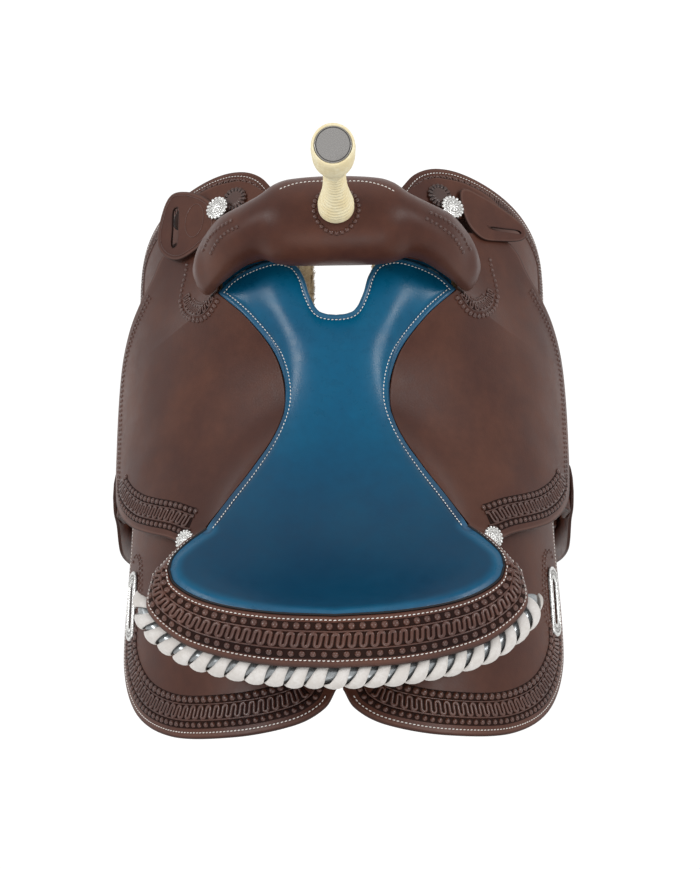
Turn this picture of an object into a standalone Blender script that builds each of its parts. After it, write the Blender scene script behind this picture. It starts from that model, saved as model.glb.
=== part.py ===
"""Western barrel racing saddle, built as it comes apart on a bench.

X is to the rider's right, Y is towards the horse's head and Z is up.
The origin is on the ridge of the horse's back, under the middle of the seat.
Lengths are written in millimetres and become metres in add_object.
"""

import math

import bmesh
import bpy
import numpy as np

MM = 0.001
SIDES = (("right", 1), ("left", -1))
GAP = 0.8

# The horse's back is a round barrel whose ridge rises a little at both ends.
BARREL = 260.0
RISE = 12.0
RISE_REACH = 330.0

# Layers on the barrel, as heights above the horse's back.
FLEECE = (0.6, 17.4)
SKIRT = (19.2, 25.0)
TREE_BAR = (26.2, 43.5)
UPPER_LEATHER = (30.5, 34.0)
REAR_JOCKEY = (45.0, 48.5)
JOCKEY_THICK = 3.8
SEAM_GAP = 1.0
SEAT_LEATHER = 4.0
SEAT_FOAM = 9.0
GROUND_SEAT = 7.0

# Hanging parts on each side.
LIFT_X, LIFT_Z = 271.0, -149.5
SWING_Z = -200.0
LEATHER_Y = 10.0
BOLT_X, BOLT_Z = 272.7, -560.0
BOLT_RADIUS = 5.0
STRAP_WIDTH, STRAP_THICK = 60.0, 3.5
STRAP_TOP = -255.0
BUCKLE_LEVELS = (-386.0, -358.0)
HOBBLE_LEVELS = (-545.0, -523.0)
STIRRUP_WIDTH = 128.0
STIRRUP_DROP = 136.0

# Horn
HORN_X, HORN_Y, HORN_Z = 3.0, 202.0, 191.2
HORN_HEIGHT = 102.0
HORN_CAP_RADIUS = 21.0
HORN_DISC_RADIUS = 17.8
HORN_CORE_HOLE = 13.4

# Whip lacing under the cantle roll
LACE_LOOPS = 24
LACE_POINTS = 8
LACE_RADIUS = 5.0
LACE_CORE_RADIUS = 3.2
LACE_COIL_RADIUS = 9.2

# Steps of the seat's patch, which every piece along its seams or rim shares.
SEAM_ROWS = 9
TIP_ROWS = 3
SEAT_COLUMNS = 20
SEAT_DISH = 14.0

# Seat outline, right half, as points (x, y, z) on its upper face.
SEAT_FRONT = [(0, 125, 95), (19, 132, 95), (29, 151, 96), (35, 171, 98), (45, 186, 100),
              (62, 193, 98), (82, 192, 94), (104, 188, 82), (120, 180, 75), (132, 168, 70)]
SEAM = [(132, 168, 70), (97, 133, 76), (66, 90, 72), (55, 45, 66), (63, 8, 66),
        (88, -36, 73), (112, -75, 87), (131, -111, 105)]
# The roll round the cantle: points (x, y, z) of the seat's rim, each with the roll's outer edge.
ROLL = [((0, -213, 182), (0, -258, 165)), ((55, -209, 175), (61, -254, 158)),
        ((102, -200, 162), (113, -243, 149)), ((134, -188, 150), (152, -226, 139)),
        ((155, -173, 139), (182, -196, 128)), ((162, -158, 131), (181, -161, 118)),
        ((160, -143, 122), (166, -141, 112)), ((148, -127, 114), (152, -124, 108)),
        ((131, -111, 105), (135, -112, 104))]
ROLL_CORNER = 5
LACE_END_Y = -184

# Leather outlines on the barrel, right side, as points (drop from the ridge, y, height).
SKIRT_INNER = [(62, 308), (46, 285), (42, 240), (42, 100), (40, -60), (36, -150), (20, -205), (3, -235)]
SKIRT_OUTER = [(62, 308), (88, 346), (128, 361), (192, 357), (258, 343), (302, 320), (316, 284),
               (308, 205), (301, 60), (294, -60), (299, -180), (285, -231), (241, -277),
               (178, -303), (103, -307), (45, -298), (15, -282), (3, -262)]
# The fleece shows past the skirt towards the spine, most beside the hand hole, and ends just inside
# the skirt's outer edge.
FLEECE_INNER = [(58, 309), (43, 286), (29, 240), (29, 110), (37, -60), (33.5, -150), (18.6, -205.6),
                (2.8, -235.7)]
FLEECE_OUTER = [(drop * 0.996, y * 0.996) for drop, y in SKIRT_OUTER]
BAR_INNER = [(52, 262), (42, 235), (42, 100), (42, -60), (42, -180), (56, -238)]
BAR_OUTER = [(100, 262), (122, 240), (124, 160), (118, 60), (120, -60), (128, -170), (112, -238)]
JOCKEY_FRONT = [(120, 262, 34), (122, 235, 40), (131, 205, 44), (134, 184, 52), (132, 168, 70)]
JOCKEY_OUTER = [(152, 270, 50), (182, 277, 49), (205, 267, 49), (222, 246, 48.5), (245, 226, 48.5),
                (275, 200, 48), (297, 165, 48), (305, 120, 48), (303, 60, 48), (293, -8, 48),
                (272, -38, 48), (240, -62, 48.5), (210, -76, 49), (178, -88, 50), (158, -98, 54),
                (137, -106, 74)]
FRONT_JOCKEY_INNER = [(60, 232), (60, 270), (66, 300), (88, 324)]
FRONT_JOCKEY_OUTER = [(88, 232), (92, 260), (122, 284), (168, 290), (186, 304), (176, 322), (140, 332),
                      (104, 331)]
REAR_JOCKEY_INNER = [(5, -224), (50, -219), (95, -209), (128, -192), (142, -165), (140, -135), (126, -106)]
REAR_JOCKEY_OUTER = [(5, -246), (45, -252), (95, -248), (138, -228), (160, -196), (168, -160),
                     (168, -130), (154, -103)]
# The latigo keeper and the strap holder are stiff and flat: they touch their height at the middle.
KEEPER = [(180, 336), (159, 332), (136, 316), (121, 295), (121, 268), (142, 252), (167, 246),
          (187, 258), (197, 281), (192, 316)]
KEEPER_SLOT = [(173, 316), (169, 312), (169, 290), (170, 268), (174, 264), (178, 268), (177, 290), (177, 312)]
KEEPER_MIDDLE = (152, 291)
STRAP = [(126, 318), (152, 319), (190, 308), (208, 296), (205, 280), (174, 268), (149, 264), (130, 282)]
STRAP_SLOT = [(162, 282), (182, 286.5), (200, 290.5), (201, 286.5), (183, 282.5), (163, 278)]
STRAP_MIDDLE = (154, 292)

# Conchos, as (drop, y, height of the underside, radius). The left front one lies on the latigo
# keeper; the rear ones lie on the tails of the seat jockeys, half under the roll.
FRONT_CONCHO = {1: (115, 291, 56.4, 14.0), -1: (118, 293, 61.4, 14.0)}
FRONT_ROSETTE = (104, 306)
ROSETTE_RADIUS = 15.0
REAR_CONCHO = (132, -106, 76.0, 12.0)

# Slotted plates in the skirts, as (drop, y), and the slots cut through the skirts under them.
FLANK_PLATE = (272, -147)
RIGGING_PLATE = (262, 188)
SKIRT_SLOT = (52, 9)

# Saddle tree fork, as stations across: x, middle y, middle z, half depth, half height.
FORK = [(0, 211, 148, 48, 42), (42, 210.5, 147, 46.5, 42), (62, 209.5, 146, 42, 40),
        (80, 208, 141, 32, 37), (100, 205, 128, 31, 37), (125, 200, 107, 34, 38),
        (143, 196, 82, 32, 37), (153, 192, 78, 21, 26), (158, 191, 77, 9, 11)]
FORK_LEATHER = 3.5
LEG_X = (72.0, 104.0)
LEG_Y = (199.0, 215.0)

# Fender outline, right side, as points (y, z) of its front and rear edges.
FENDER_FRONT = [(18, -165), (38, -176), (50, -196), (82, -214), (96, -232), (97, -270), (88, -330),
                (68, -400), (48, -455), (44, -500)]
FENDER_REAR = [(2, -165), (-18, -176), (-30, -196), (-50, -214), (-59, -232), (-60, -270), (-54, -330),
               (-42, -400), (-28, -455), (-24, -500)]
FENDER_X = (286.0, 290.0)
LEATHER_THICK = 3.5
TAB_X = 283.75
BEND_SLANT = math.radians(31)


def remove_everything():
    for item in list(bpy.data.objects):
        bpy.data.objects.remove(item, do_unlink=True)


def material(name, colour, roughness, metallic=0.0):
    """One plain finish, made once for each name."""
    found = bpy.data.materials.get(name)
    if found:
        return found
    finish = bpy.data.materials.new(name)
    finish.use_nodes = True
    shader = finish.node_tree.nodes["Principled BSDF"]
    shader.inputs["Base Color"].default_value = (*colour, 1.0)
    shader.inputs["Roughness"].default_value = roughness
    shader.inputs["Metallic"].default_value = metallic
    finish.diffuse_color = (*colour, 1.0)
    return finish


def brown():
    return material("brown_leather", (0.085, 0.036, 0.026), 0.5)


def dark():
    return material("dark_leather", (0.03, 0.018, 0.014), 0.55)


def blue():
    return material("blue_leather", (0.0, 0.095, 0.22), 0.38)


def cream():
    return material("rawhide", (0.86, 0.76, 0.52), 0.5)


def white_lace():
    return material("white_lace", (0.85, 0.82, 0.78), 0.45)


def wool():
    return material("fleece", (0.74, 0.6, 0.38), 0.95)


def wood():
    return material("tree_wood", (0.6, 0.42, 0.24), 0.6)


def foam():
    return material("seat_foam", (0.75, 0.72, 0.6), 0.9)


def silver():
    return material("engraved_silver", (0.8, 0.8, 0.8), 0.25, 1.0)


def steel():
    return material("stainless_steel", (0.6, 0.6, 0.6), 0.35, 1.0)


def black_rubber():
    return material("tread_rubber", (0.02, 0.02, 0.02), 0.8)


def add_object(name, points, faces, finish, origin=(0.0, 0.0, 0.0), smooth=True):
    """Make one closed mesh object from millimetre points, with its origin where asked."""
    middle = np.array(origin, float)
    mesh = bpy.data.meshes.new(name)
    mesh.from_pydata(((np.array(points, float) - middle) * MM).tolist(), [], faces)
    work = bmesh.new()
    work.from_mesh(mesh)
    bmesh.ops.recalc_face_normals(work, faces=work.faces)
    work.to_mesh(mesh)
    work.free()
    mesh.materials.append(finish)
    if smooth:
        mesh.shade_smooth()
        mesh.set_sharp_from_angle(angle=math.radians(40))
    item = bpy.data.objects.new(name, mesh)
    item.location = middle * MM
    bpy.context.collection.objects.link(item)
    return item


def boolean(item, other, operation):
    """Cut or join with another object, which stays as a hidden guide."""
    step = item.modifiers.new(operation.lower(), "BOOLEAN")
    step.object = other
    step.operation = operation
    step.solver = "EXACT"
    other.hide_render = True
    other.display_type = "WIRE"
    return item


def smooth_line(points, count):
    """Evenly spaced points along a Catmull-Rom curve through the given points."""
    knots = np.array(points, float)
    padded = np.vstack([2 * knots[0] - knots[1], knots, 2 * knots[-1] - knots[-2]])
    fine = []
    for index in range(len(knots) - 1):
        a, b, c, d = padded[index:index + 4]
        for t in np.arange(0, 1, 0.05):
            curve = 2 * b + (c - a) * t + (2 * a - 5 * b + 4 * c - d) * t ** 2
            curve = curve + (3 * b - a - 3 * c + d) * t ** 3
            fine.append(0.5 * curve)
    fine.append(knots[-1])
    fine = np.array(fine)
    length = np.concatenate([[0], np.cumsum(np.linalg.norm(np.diff(fine, axis=0), axis=1))])
    wanted = np.linspace(0, length[-1], count)
    return np.stack([np.interp(wanted, length, column) for column in fine.T], axis=-1)


def back_rise(y):
    return RISE * (y / RISE_REACH) ** 2


def drape(places):
    """Put (drop, y, height) places on the horse's back: drop is measured along its ribs."""
    places = np.asarray(places, float)
    drop, y, height = places[..., 0], places[..., 1], places[..., 2]
    angle = drop / BARREL
    reach = BARREL + height
    return np.stack([reach * np.sin(angle), y, reach * np.cos(angle) - BARREL + back_rise(y)], axis=-1)


def undrape(points):
    """The inverse of drape."""
    points = np.asarray(points, float)
    x, y = points[..., 0], points[..., 1]
    up = points[..., 2] + BARREL - back_rise(y)
    return np.stack([BARREL * np.arctan2(x, up), y, np.hypot(x, up) - BARREL], axis=-1)


def between(first, second, rows):
    """A grid of points on straight lines from one edge to the other."""
    share = np.linspace(0, 1, rows + 1)[:, None, None]
    return first[None] * (1 - share) + second[None] * share


def slab_faces(top):
    """Faces of a closed slab over a grid of points, each square split on its short diagonal."""
    rows, columns = top.shape[:2]
    count = rows * columns
    faces = []
    for i in range(rows - 1):
        for j in range(columns - 1):
            a = i * columns + j
            b, c, d = a + 1, a + 1 + columns, a + columns
            falling = np.linalg.norm(top[i, j] - top[i + 1, j + 1])
            rising = np.linalg.norm(top[i, j + 1] - top[i + 1, j])
            halves = [(a, b, c), (a, c, d)] if falling < rising else [(a, b, d), (b, c, d)]
            for half in halves:
                faces.append(half)
                faces.append(tuple(corner + count for corner in reversed(half)))
    loop = list(range(columns))
    loop += [i * columns + columns - 1 for i in range(1, rows)]
    loop += [(rows - 1) * columns + j for j in range(columns - 2, -1, -1)]
    loop += [i * columns for i in range(rows - 2, 0, -1)]
    for a, b in zip(loop, loop[1:] + loop[:1]):
        faces.append((b, a, a + count, b + count))
    return faces


def slab(name, top, bottom, finish, origin=(0.0, 0.0, 0.0)):
    """A closed sheet between two grids of points."""
    points = np.concatenate([top.reshape(-1, 3), bottom.reshape(-1, 3)])
    return add_object(name, points, slab_faces(top), finish, origin)


def panel(name, first, second, thick, finish, side, rows=6, ease=1.0, upright=False):
    """A leather panel on the barrel between the inner and outer edges of its upper face.

    Heights fall from the inner edge to the outer one, faster near the inner edge where
    ease is over 1. An upright inner edge is cut straight down.
    """
    grid = between(first, second, rows)
    share = np.linspace(0, 1, rows + 1)[:, None]
    grid[..., 2] = second[None, :, 2] + (first[None, :, 2] - second[None, :, 2]) * (1 - share) ** ease
    lower = grid.copy()
    lower[..., 2] -= thick
    top = drape(grid)
    bottom = drape(lower)
    if upright:
        bottom[0] = top[0] - np.array([0, 0, thick])
    flip = np.array([side, 1, 1])
    return slab(name, top * flip, bottom * flip, finish)


def level_panel(name, inner, outer, layer, finish, side, rows, columns):
    """A panel that fills one level layer, from outlines of (drop, y) points."""
    first = smooth_line([(drop, y, layer[1]) for drop, y in inner], columns + 1)
    second = smooth_line([(drop, y, layer[1]) for drop, y in outer], columns + 1)
    return panel(name, first, second, layer[1] - layer[0], finish, side, rows)


def loft(name, rings, finish, origin=(0.0, 0.0, 0.0), closed=False):
    """Join rings of points: capped at both ends, or closed on itself as a tube wall is."""
    rings = [np.array(ring, float) for ring in rings]
    size = len(rings[0])
    faces = []
    pairs = list(zip(range(len(rings) - 1), range(1, len(rings))))
    if closed:
        pairs.append((len(rings) - 1, 0))
    for low, high in pairs:
        for k in range(size):
            nxt = (k + 1) % size
            faces.append((low * size + k, low * size + nxt, high * size + nxt, high * size + k))
    if not closed:
        faces.append(tuple(reversed(range(size))))
        faces.append(tuple((len(rings) - 1) * size + k for k in range(size)))
    return add_object(name, np.concatenate(rings), faces, finish, origin)


def box(name, low, high, finish, origin=(0.0, 0.0, 0.0)):
    """A plain block between two corners."""
    (x0, y0, z0), (x1, y1, z1) = low, high
    rings = [[(x0, y0, z), (x1, y0, z), (x1, y1, z), (x0, y1, z)] for z in (z0, z1)]
    return loft(name, rings, finish, origin)


def circle(radius, count):
    turn = np.arange(count) * 2 * math.pi / count
    return np.stack([radius * np.cos(turn), radius * np.sin(turn)], axis=-1)


def rod_along_y(name, stations, centre, finish, origin=(0.0, 0.0, 0.0)):
    """A turned piece along Y, from (y, radius) stations."""
    rings = []
    for y, radius in stations:
        rings.append([(centre[0] + a, y, centre[1] + b) for a, b in circle(radius, 16)])
    return loft(name, rings, finish, origin)


def barrel_frame(drop, y, height):
    """A point on the barrel with directions outward, downward along the ribs and forward."""
    centre = drape(np.array([drop, y, height]))
    angle = drop / BARREL
    outward = np.array([math.sin(angle), 0.0, math.cos(angle)])
    downward = np.array([math.cos(angle), 0.0, -math.sin(angle)])
    return centre, outward, downward, np.array([0.0, 1.0, 0.0])


def flat_ring(place, level, loop, side):
    """A loop of (across, along) points laid flat at a level over a place on the barrel."""
    centre, outward, downward, forward = barrel_frame(*place)
    face = centre + outward * level
    return [(face + downward * a + forward * b) * (side, 1, 1) for a, b in loop]


def turned_on_barrel(name, drop, y, stations, finish, side):
    """A turned piece that stands on the barrel, from (height, radius) stations."""
    rings = [flat_ring((drop, y, 0.0), height, circle(radius, 16), side) for height, radius in stations]
    return loft(name, rings, finish)


def slotted_sheet(name, outline, slot, middle, heights, finish, side, columns=20):
    """A small flat leather sheet with a slot, tangent to the barrel at its middle."""
    outer = smooth_line(outline + outline[:1], columns + 1)[:-1]
    inner = smooth_line(slot + slot[:1], columns + 1)[:-1]
    start = np.argmin(np.linalg.norm(inner - outer[0], axis=1))
    inner = np.roll(inner, -start, axis=0)
    low, high = heights
    centre, outward, downward, _ = barrel_frame(*middle, low)
    forward = np.array([0.0, 1.0, 2 * RISE * middle[1] / RISE_REACH ** 2])
    stretch = (BARREL + low) / BARREL
    rings = []
    for loop, level in ((inner, 0.0), (outer, 0.0), (outer, high - low), (inner, high - low)):
        face = centre + outward * level
        along = (loop[:, :1] - middle[0]) * stretch
        rings.append((face + downward * along + forward * (loop[:, 1:] - middle[1])) * (side, 1, 1))
    return loft(name, rings, finish, closed=True)


def oblong(length, width, count=5):
    """A long outline with round ends, as points (across, along)."""
    half = length / 2 - width / 2
    points = []
    for k in range(count + 1):
        turn = math.pi * k / count
        points.append((width / 2 * math.cos(turn), half + width / 2 * math.sin(turn)))
    for k in range(count + 1):
        turn = math.pi + math.pi * k / count
        points.append((width / 2 * math.cos(turn), -half + width / 2 * math.sin(turn)))
    return points


def slot_plate(name, drop, y, height, outer, hole, thick, finish, side):
    """A flat metal plate with a long slot, tangent to the barrel."""
    rings = []
    for size, level in ((hole, 0.0), (outer, 0.0), (outer, thick), (hole, thick)):
        rings.append(flat_ring((drop, y, height), level, oblong(*size), side))
    return loft(name, rings, finish, closed=True)


def mirrored(half):
    """A whole edge from its right half, left end first."""
    left = half[:0:-1] * np.array([-1, 1, 1])
    return np.vstack([left, half])


def rim_and_edge(steps):
    """Points along the right half of the cantle rim and of its roll's edge, centre to corner to tip."""
    pairs = [rim + edge for rim, edge in ROLL]
    wing = smooth_line(pairs[:ROLL_CORNER + 1], steps + 1)
    tip = smooth_line(pairs[ROLL_CORNER:], TIP_ROWS + 1)
    pairs = np.vstack([wing, tip[1:]])
    return pairs[:, :3], pairs[:, 3:]


def seat_grid():
    """Upper face of the seat: a patch between its front edge, both sides and the cantle rim.

    A side is the seam and then the tip of the rim. Each row starts as a straight line from
    side to side. The rise of the front edge over such a line fades down the seat, that of
    the rim fades up it, faster in height than in plan, and a shallow dish is taken out.
    """
    half = SEAT_COLUMNS // 2
    rim, _ = rim_and_edge(half)
    front = mirrored(smooth_line(SEAT_FRONT, half + 1))
    rear = mirrored(rim[:half + 1])
    side = np.vstack([smooth_line(SEAM, SEAM_ROWS + 1), rim[half:-1][::-1]])
    flip = np.array([-1, 1, 1])
    v = np.linspace(0, 1, SEAT_COLUMNS + 1)[:, None]
    front_rise = front - (front[0] * (1 - v) + front[-1] * v)
    rear_rise = rear - (rear[0] * (1 - v) + rear[-1] * v)
    rows = []
    for u, end in zip(np.linspace(0, 1, len(side)), side):
        row = end * flip * (1 - v) + end * v
        row = row + front_rise * np.array([1 - u, 1 - u, (1 - u) ** 2])
        row = row + rear_rise * np.array([u, u, u ** 6])
        row[:, 2] -= SEAT_DISH * 4 * (v * (1 - v))[:, 0] * math.sin(math.pi * u ** 2.4)
        rows.append(row)
    return np.array(rows)


def draw_in(grid, ends, sides):
    """Move the border of a grid inward over its own surface by shares of a square."""
    grid[0] += (grid[1] - grid[0]) * ends
    grid[-1] += (grid[-2] - grid[-1]) * ends
    grid[:, 0] += (grid[:, 1] - grid[:, 0]) * sides
    grid[:, -1] += (grid[:, -2] - grid[:, -1]) * sides


def lowered(grid, depth):
    return grid - np.array([0, 0, depth])


def build_seat():
    grid = seat_grid()
    level = 0.0
    for name, thick, finish in (("seat_leather", SEAT_LEATHER, blue()), ("seat_foam", SEAT_FOAM, foam()),
                                ("ground_seat", GROUND_SEAT, dark())):
        slab(name, lowered(grid, level), lowered(grid, level + thick), finish)
        level += thick + 1.5 * GAP
        draw_in(grid, 0.12, 0.3)


def fork_ring(station, inset, count=15, opening=66.0):
    """One cross-section of the fork's leather: an oval, open below for the fork's legs."""
    x, y, z, depth, height = station
    start = math.radians(270 + opening / 2)
    sweep = math.radians(360 - opening)
    turn = start + np.linspace(0, 1, count) * sweep
    return np.stack([np.full(count, x), y + (depth - inset) * np.cos(turn),
                     z + (height - inset) * np.sin(turn)], axis=-1)


def fork_stations():
    right = [list(station) for station in FORK]
    left = [[-station[0]] + list(station[1:]) for station in FORK[:0:-1]]
    return left + right


def build_fork():
    """The wooden fork with its legs, the leather round it and the sleeves on its legs."""
    stations = fork_stations()
    outer = np.array([fork_ring(station, 0.0) for station in stations])
    inner = np.array([fork_ring(station, FORK_LEATHER) for station in stations])
    cover = slab("fork_cover", outer, inner, brown())
    hole = loft("horn_hole_cutter", horn_rings([(-40, HORN_CORE_HOLE), (20, HORN_CORE_HOLE)]), brown())
    boolean(cover, hole, "DIFFERENCE")
    rings = []
    for x, y, z, depth, height in stations[2:-2]:
        half_y = 0.5 * depth
        half_z = 0.7 * height
        rings.append([(x, y - half_y, z - half_z), (x, y + half_y, z - half_z),
                      (x, y + half_y, z + half_z), (x, y - half_y, z + half_z)])
    core = loft("tree_fork", rings, wood())
    for label, side in SIDES:
        leg = loft("leg_%s_guide" % label, leg_rings(side, 0.0, TREE_BAR[1] + GAP, 125.0), wood())
        boolean(core, leg, "UNION")
        outside = leg_rings(side, 4.5, REAR_JOCKEY[0] + GAP, 86.0)
        inside = leg_rings(side, 0.8, REAR_JOCKEY[0] + GAP, 86.0)
        loft("fork_leg_cover_" + label, [outside[0], outside[1], inside[1], inside[0]], brown(), closed=True)


def leg_rings(side, grow, foot_height, top):
    """Foot and top outlines of a fork leg that stands on a tree bar."""
    corners = [(LEG_X[0] - grow, LEG_Y[0] - grow), (LEG_X[1] + grow, LEG_Y[0] - grow),
               (LEG_X[1] + grow, LEG_Y[1] + grow), (LEG_X[0] - grow, LEG_Y[1] + grow)]
    foot = []
    for x, y in corners:
        reach = BARREL + foot_height
        foot.append((side * x, y, math.sqrt(reach ** 2 - x ** 2) - BARREL + back_rise(y)))
    return [foot, [(side * x, y, top) for x, y in corners]]


def horn_axis(height):
    """Middle of the horn and its lean at a height above its base: the cap leans back."""
    share = max(0.0, height / HORN_HEIGHT)
    y = HORN_Y + 7.5 * share ** 2
    lean = math.radians(17.0) * min(1.0, max(0.0, (height - 45) / 35))
    return y, HORN_Z + height, lean


def horn_rings(stations, count=16):
    rings = []
    for height, radius in stations:
        y, z, lean = horn_axis(height)
        ring = circle(radius, count)
        rings.append([(HORN_X + a, y + b * math.cos(lean), z + b * math.sin(lean)) for a, b in ring])
    return rings


def build_horn():
    """Steel horn core, the rawhide wound over it and the bare metal disc on its cap."""
    top = HORN_HEIGHT
    core = [(-13, 12.2), (0, 12.2), (8, 9.5), (20, 7.6), (60, 7.6), (72, 9), (82, 17.4), (top - 3.2, 17.4)]
    loft("horn_core", horn_rings(core), steel())
    outside = [(0, 18.5), (9, 18), (20, 15.6), (36, 12.4), (54, 11), (66, 12), (76, 16), (84, 20),
               (92, HORN_CAP_RADIUS), (99, HORN_CAP_RADIUS), (top, 20)]
    inside = [(top, 18.4), (top - 3.2, 18.2), (81, 18.2), (71, 9.8), (60, 8.3), (20, 8.3), (7, 10.5), (0, 13)]
    loft("horn_wrap", horn_rings(outside + inside), cream(), closed=True)
    loft("horn_cap_disc", horn_rings([(top - 2.8, HORN_DISC_RADIUS), (top - 0.9, HORN_DISC_RADIUS)]), steel())


def build_tree_bars():
    for label, side in SIDES:
        level_panel("tree_bar_" + label, BAR_INNER, BAR_OUTER, TREE_BAR, wood(), side, rows=3, columns=12)


def outward_of(rim, edge):
    """Level directions from the rim towards the roll's edge."""
    across = (edge - rim) * np.array([1, 1, 0])
    return across / np.linalg.norm(across, axis=1)[:, None]


def foot_below(point, height):
    """The place at a height on the barrel under or over a point."""
    place = undrape(point)
    place[2] = height
    return drape(place)


def build_cantle():
    """Wooden cantle, leather on its back, and the roll round its top."""
    rim, edge = [mirrored(half) for half in rim_and_edge(SEAT_COLUMNS // 2)]
    outward = outward_of(rim, edge)
    keep = slice(TIP_ROWS + 1, -TIP_ROWS - 1)
    up = np.array([0, 0, 1])
    board = 12
    clear = 2.4
    leather = 3
    wall = []
    back = []
    for point, out in zip(rim[keep], outward[keep]):
        foot = foot_below(point * np.array([0.93, 0.93, 1]), TREE_BAR[1] + GAP)
        shoulder = point - up * 12
        lean = (shoulder - foot) / (shoulder[2] - foot[2])
        inner_foot = foot_below(foot - out * board, TREE_BAR[1] + GAP)
        wall.append([point - out * board - up * 52, shoulder - lean * 16, foot, inner_foot])
        near_top = shoulder + out * clear
        near_foot = foot + lean * (REAR_JOCKEY[1] + 2 * GAP - TREE_BAR[1]) * 1.25 + out * clear
        back.append([near_top, near_top + out * leather, near_foot + out * leather, near_foot])
    loft("tree_cantle", wall, wood())
    loft("cantle_back", back, brown())
    build_roll(rim, edge, outward)


def build_roll(rim, edge, outward):
    """The flat roll round the cantle's top: an arched strip from the seat's rim to its outer edge."""
    up = np.array([0, 0, 1])
    rings = []
    for point, far, out in zip(rim, edge, outward):
        start = point + out * 0.7
        span = far - start
        width = np.linalg.norm(span[:2])
        drop = -span[2]
        upper = [0.0, 0.18, 0.4, 0.65, 0.88, 1.0]
        ring = []
        for share in upper:
            bulge = 0.16 * width * math.sin(math.pi * share) ** 0.8
            rise = bulge - drop * share ** 1.5 + 0.5
            ring.append(start + span * np.array([share, share, 0]) + up * rise)
        for share in reversed(upper):
            bulge = 0.10 * width * math.sin(math.pi * share) ** 0.8
            rise = bulge - drop * share ** 1.5 - 4.5
            ring.append(start + span * np.array([share, share, 0]) + up * rise)
        rings.append(ring)
    loft("cheyenne_roll", rings, brown())


def lace_path(count):
    """Middle line of the lacing, under the outer edge of the roll, left to right."""
    _, half = rim_and_edge(60)
    path = mirrored(half[half[:, 1] < LACE_END_Y])
    tangent = np.gradient(path, axis=0)
    out = np.stack([tangent[:, 1], -tangent[:, 0], np.zeros(len(path))], axis=-1)
    out = out / np.linalg.norm(out, axis=1)[:, None]
    path = path + out * 3 - np.array([0, 0, 1]) * (6 + LACE_COIL_RADIUS + LACE_RADIUS)
    return smooth_line(path, count)


def tube(name, points, radius, finish, resolution):
    """A round tube along points, with closed ends."""
    curve = bpy.data.curves.new(name, "CURVE")
    curve.dimensions = "3D"
    curve.bevel_depth = radius * MM
    curve.bevel_resolution = resolution
    curve.use_fill_caps = True
    spline = curve.splines.new("POLY")
    spline.points.add(len(points) - 1)
    for target, point in zip(spline.points, points):
        target.co = (*(np.array(point) * MM), 1.0)
    curve.materials.append(finish)
    item = bpy.data.objects.new(name, curve)
    bpy.context.collection.objects.link(item)
    return item


def least_gap(points, radius, apart):
    """Least clear distance between stretches of a tube that are some points apart."""
    points = np.array(points)
    distance = np.linalg.norm(points[:, None] - points[None], axis=-1)
    index = np.arange(len(points))
    distance[np.abs(index[:, None] - index[None]) < apart] = np.inf
    return distance.min() - 2 * radius


def build_lacing():
    """One rawhide lace whipped round a cord under the roll: a helix along the roll's edge."""
    turns = LACE_LOOPS * LACE_POINTS
    path = lace_path(turns + 1)
    tangent = np.gradient(path, axis=0)
    tangent = tangent / np.linalg.norm(tangent, axis=1)[:, None]
    out = np.cross(tangent, [0, 0, 1])
    out = out / np.linalg.norm(out, axis=1)[:, None]
    up = np.cross(out, tangent)
    turn = (np.arange(turns + 1) / LACE_POINTS * 2 * math.pi)[:, None]
    lace = path + LACE_COIL_RADIUS * (out * np.cos(turn) + up * np.sin(turn))
    run = 2 * LACE_RADIUS
    first = lace[0] - (lace[1] - lace[0]) / np.linalg.norm(lace[1] - lace[0]) * run
    last = lace[-1] + (lace[-1] - lace[-2]) / np.linalg.norm(lace[-1] - lace[-2]) * run
    lace = np.vstack([first, lace, last])
    tube("cantle_lacing", lace, LACE_RADIUS, white_lace(), 1)
    print("least gap of the lacing to itself, mm:", round(least_gap(lace, LACE_RADIUS, LACE_POINTS // 2), 2))
    tube("lacing_core", smooth_line(path, 40), LACE_CORE_RADIUS, dark(), 1)


def build_skirts():
    rows, columns = 7, 24
    for label, side in SIDES:
        level_panel("fleece_" + label, FLEECE_INNER, FLEECE_OUTER, FLEECE, wool(), side, rows, columns)
        skirt = level_panel("skirt_" + label, SKIRT_INNER, SKIRT_OUTER, SKIRT, brown(), side, rows, columns)
        for name, (drop, y) in (("rear", FLANK_PLATE), ("front", RIGGING_PLATE)):
            place = (drop, y, SKIRT[0])
            rings = [flat_ring(place, level, oblong(*SKIRT_SLOT), side) for level in (-4, 10)]
            boolean(skirt, loft("%s_slot_cutter_%s" % (name, label), rings, brown()), "DIFFERENCE")


def build_jockeys():
    """Leather panels over the bars: seat, front and rear jockeys."""
    front = undrape(smooth_line(JOCKEY_FRONT, 7))
    seam = undrape(smooth_line(SEAM, SEAM_ROWS + 1))
    inner = np.vstack([front[:-1], seam])
    inner[:, 0] += SEAM_GAP
    inner[-1, 1] += 2 * SEAM_GAP
    outer = smooth_line(JOCKEY_OUTER, len(inner))
    for label, side in SIDES:
        panel("seat_jockey_" + label, inner, outer, JOCKEY_THICK, brown(), side, rows=7, ease=4.5,
              upright=True)
        level_panel("front_jockey_" + label, FRONT_JOCKEY_INNER, FRONT_JOCKEY_OUTER, REAR_JOCKEY, brown(),
                    side, rows=4, columns=10)
        level_panel("rear_jockey_" + label, REAR_JOCKEY_INNER, REAR_JOCKEY_OUTER, REAR_JOCKEY, brown(),
                    side, rows=3, columns=12)
    slotted_sheet("latigo_keeper", KEEPER, KEEPER_SLOT, KEEPER_MIDDLE, (54.5, 58.0), brown(), -1)
    slotted_sheet("off_side_strap", STRAP, STRAP_SLOT, STRAP_MIDDLE, (50.5, 53.5), brown(), 1)


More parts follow.
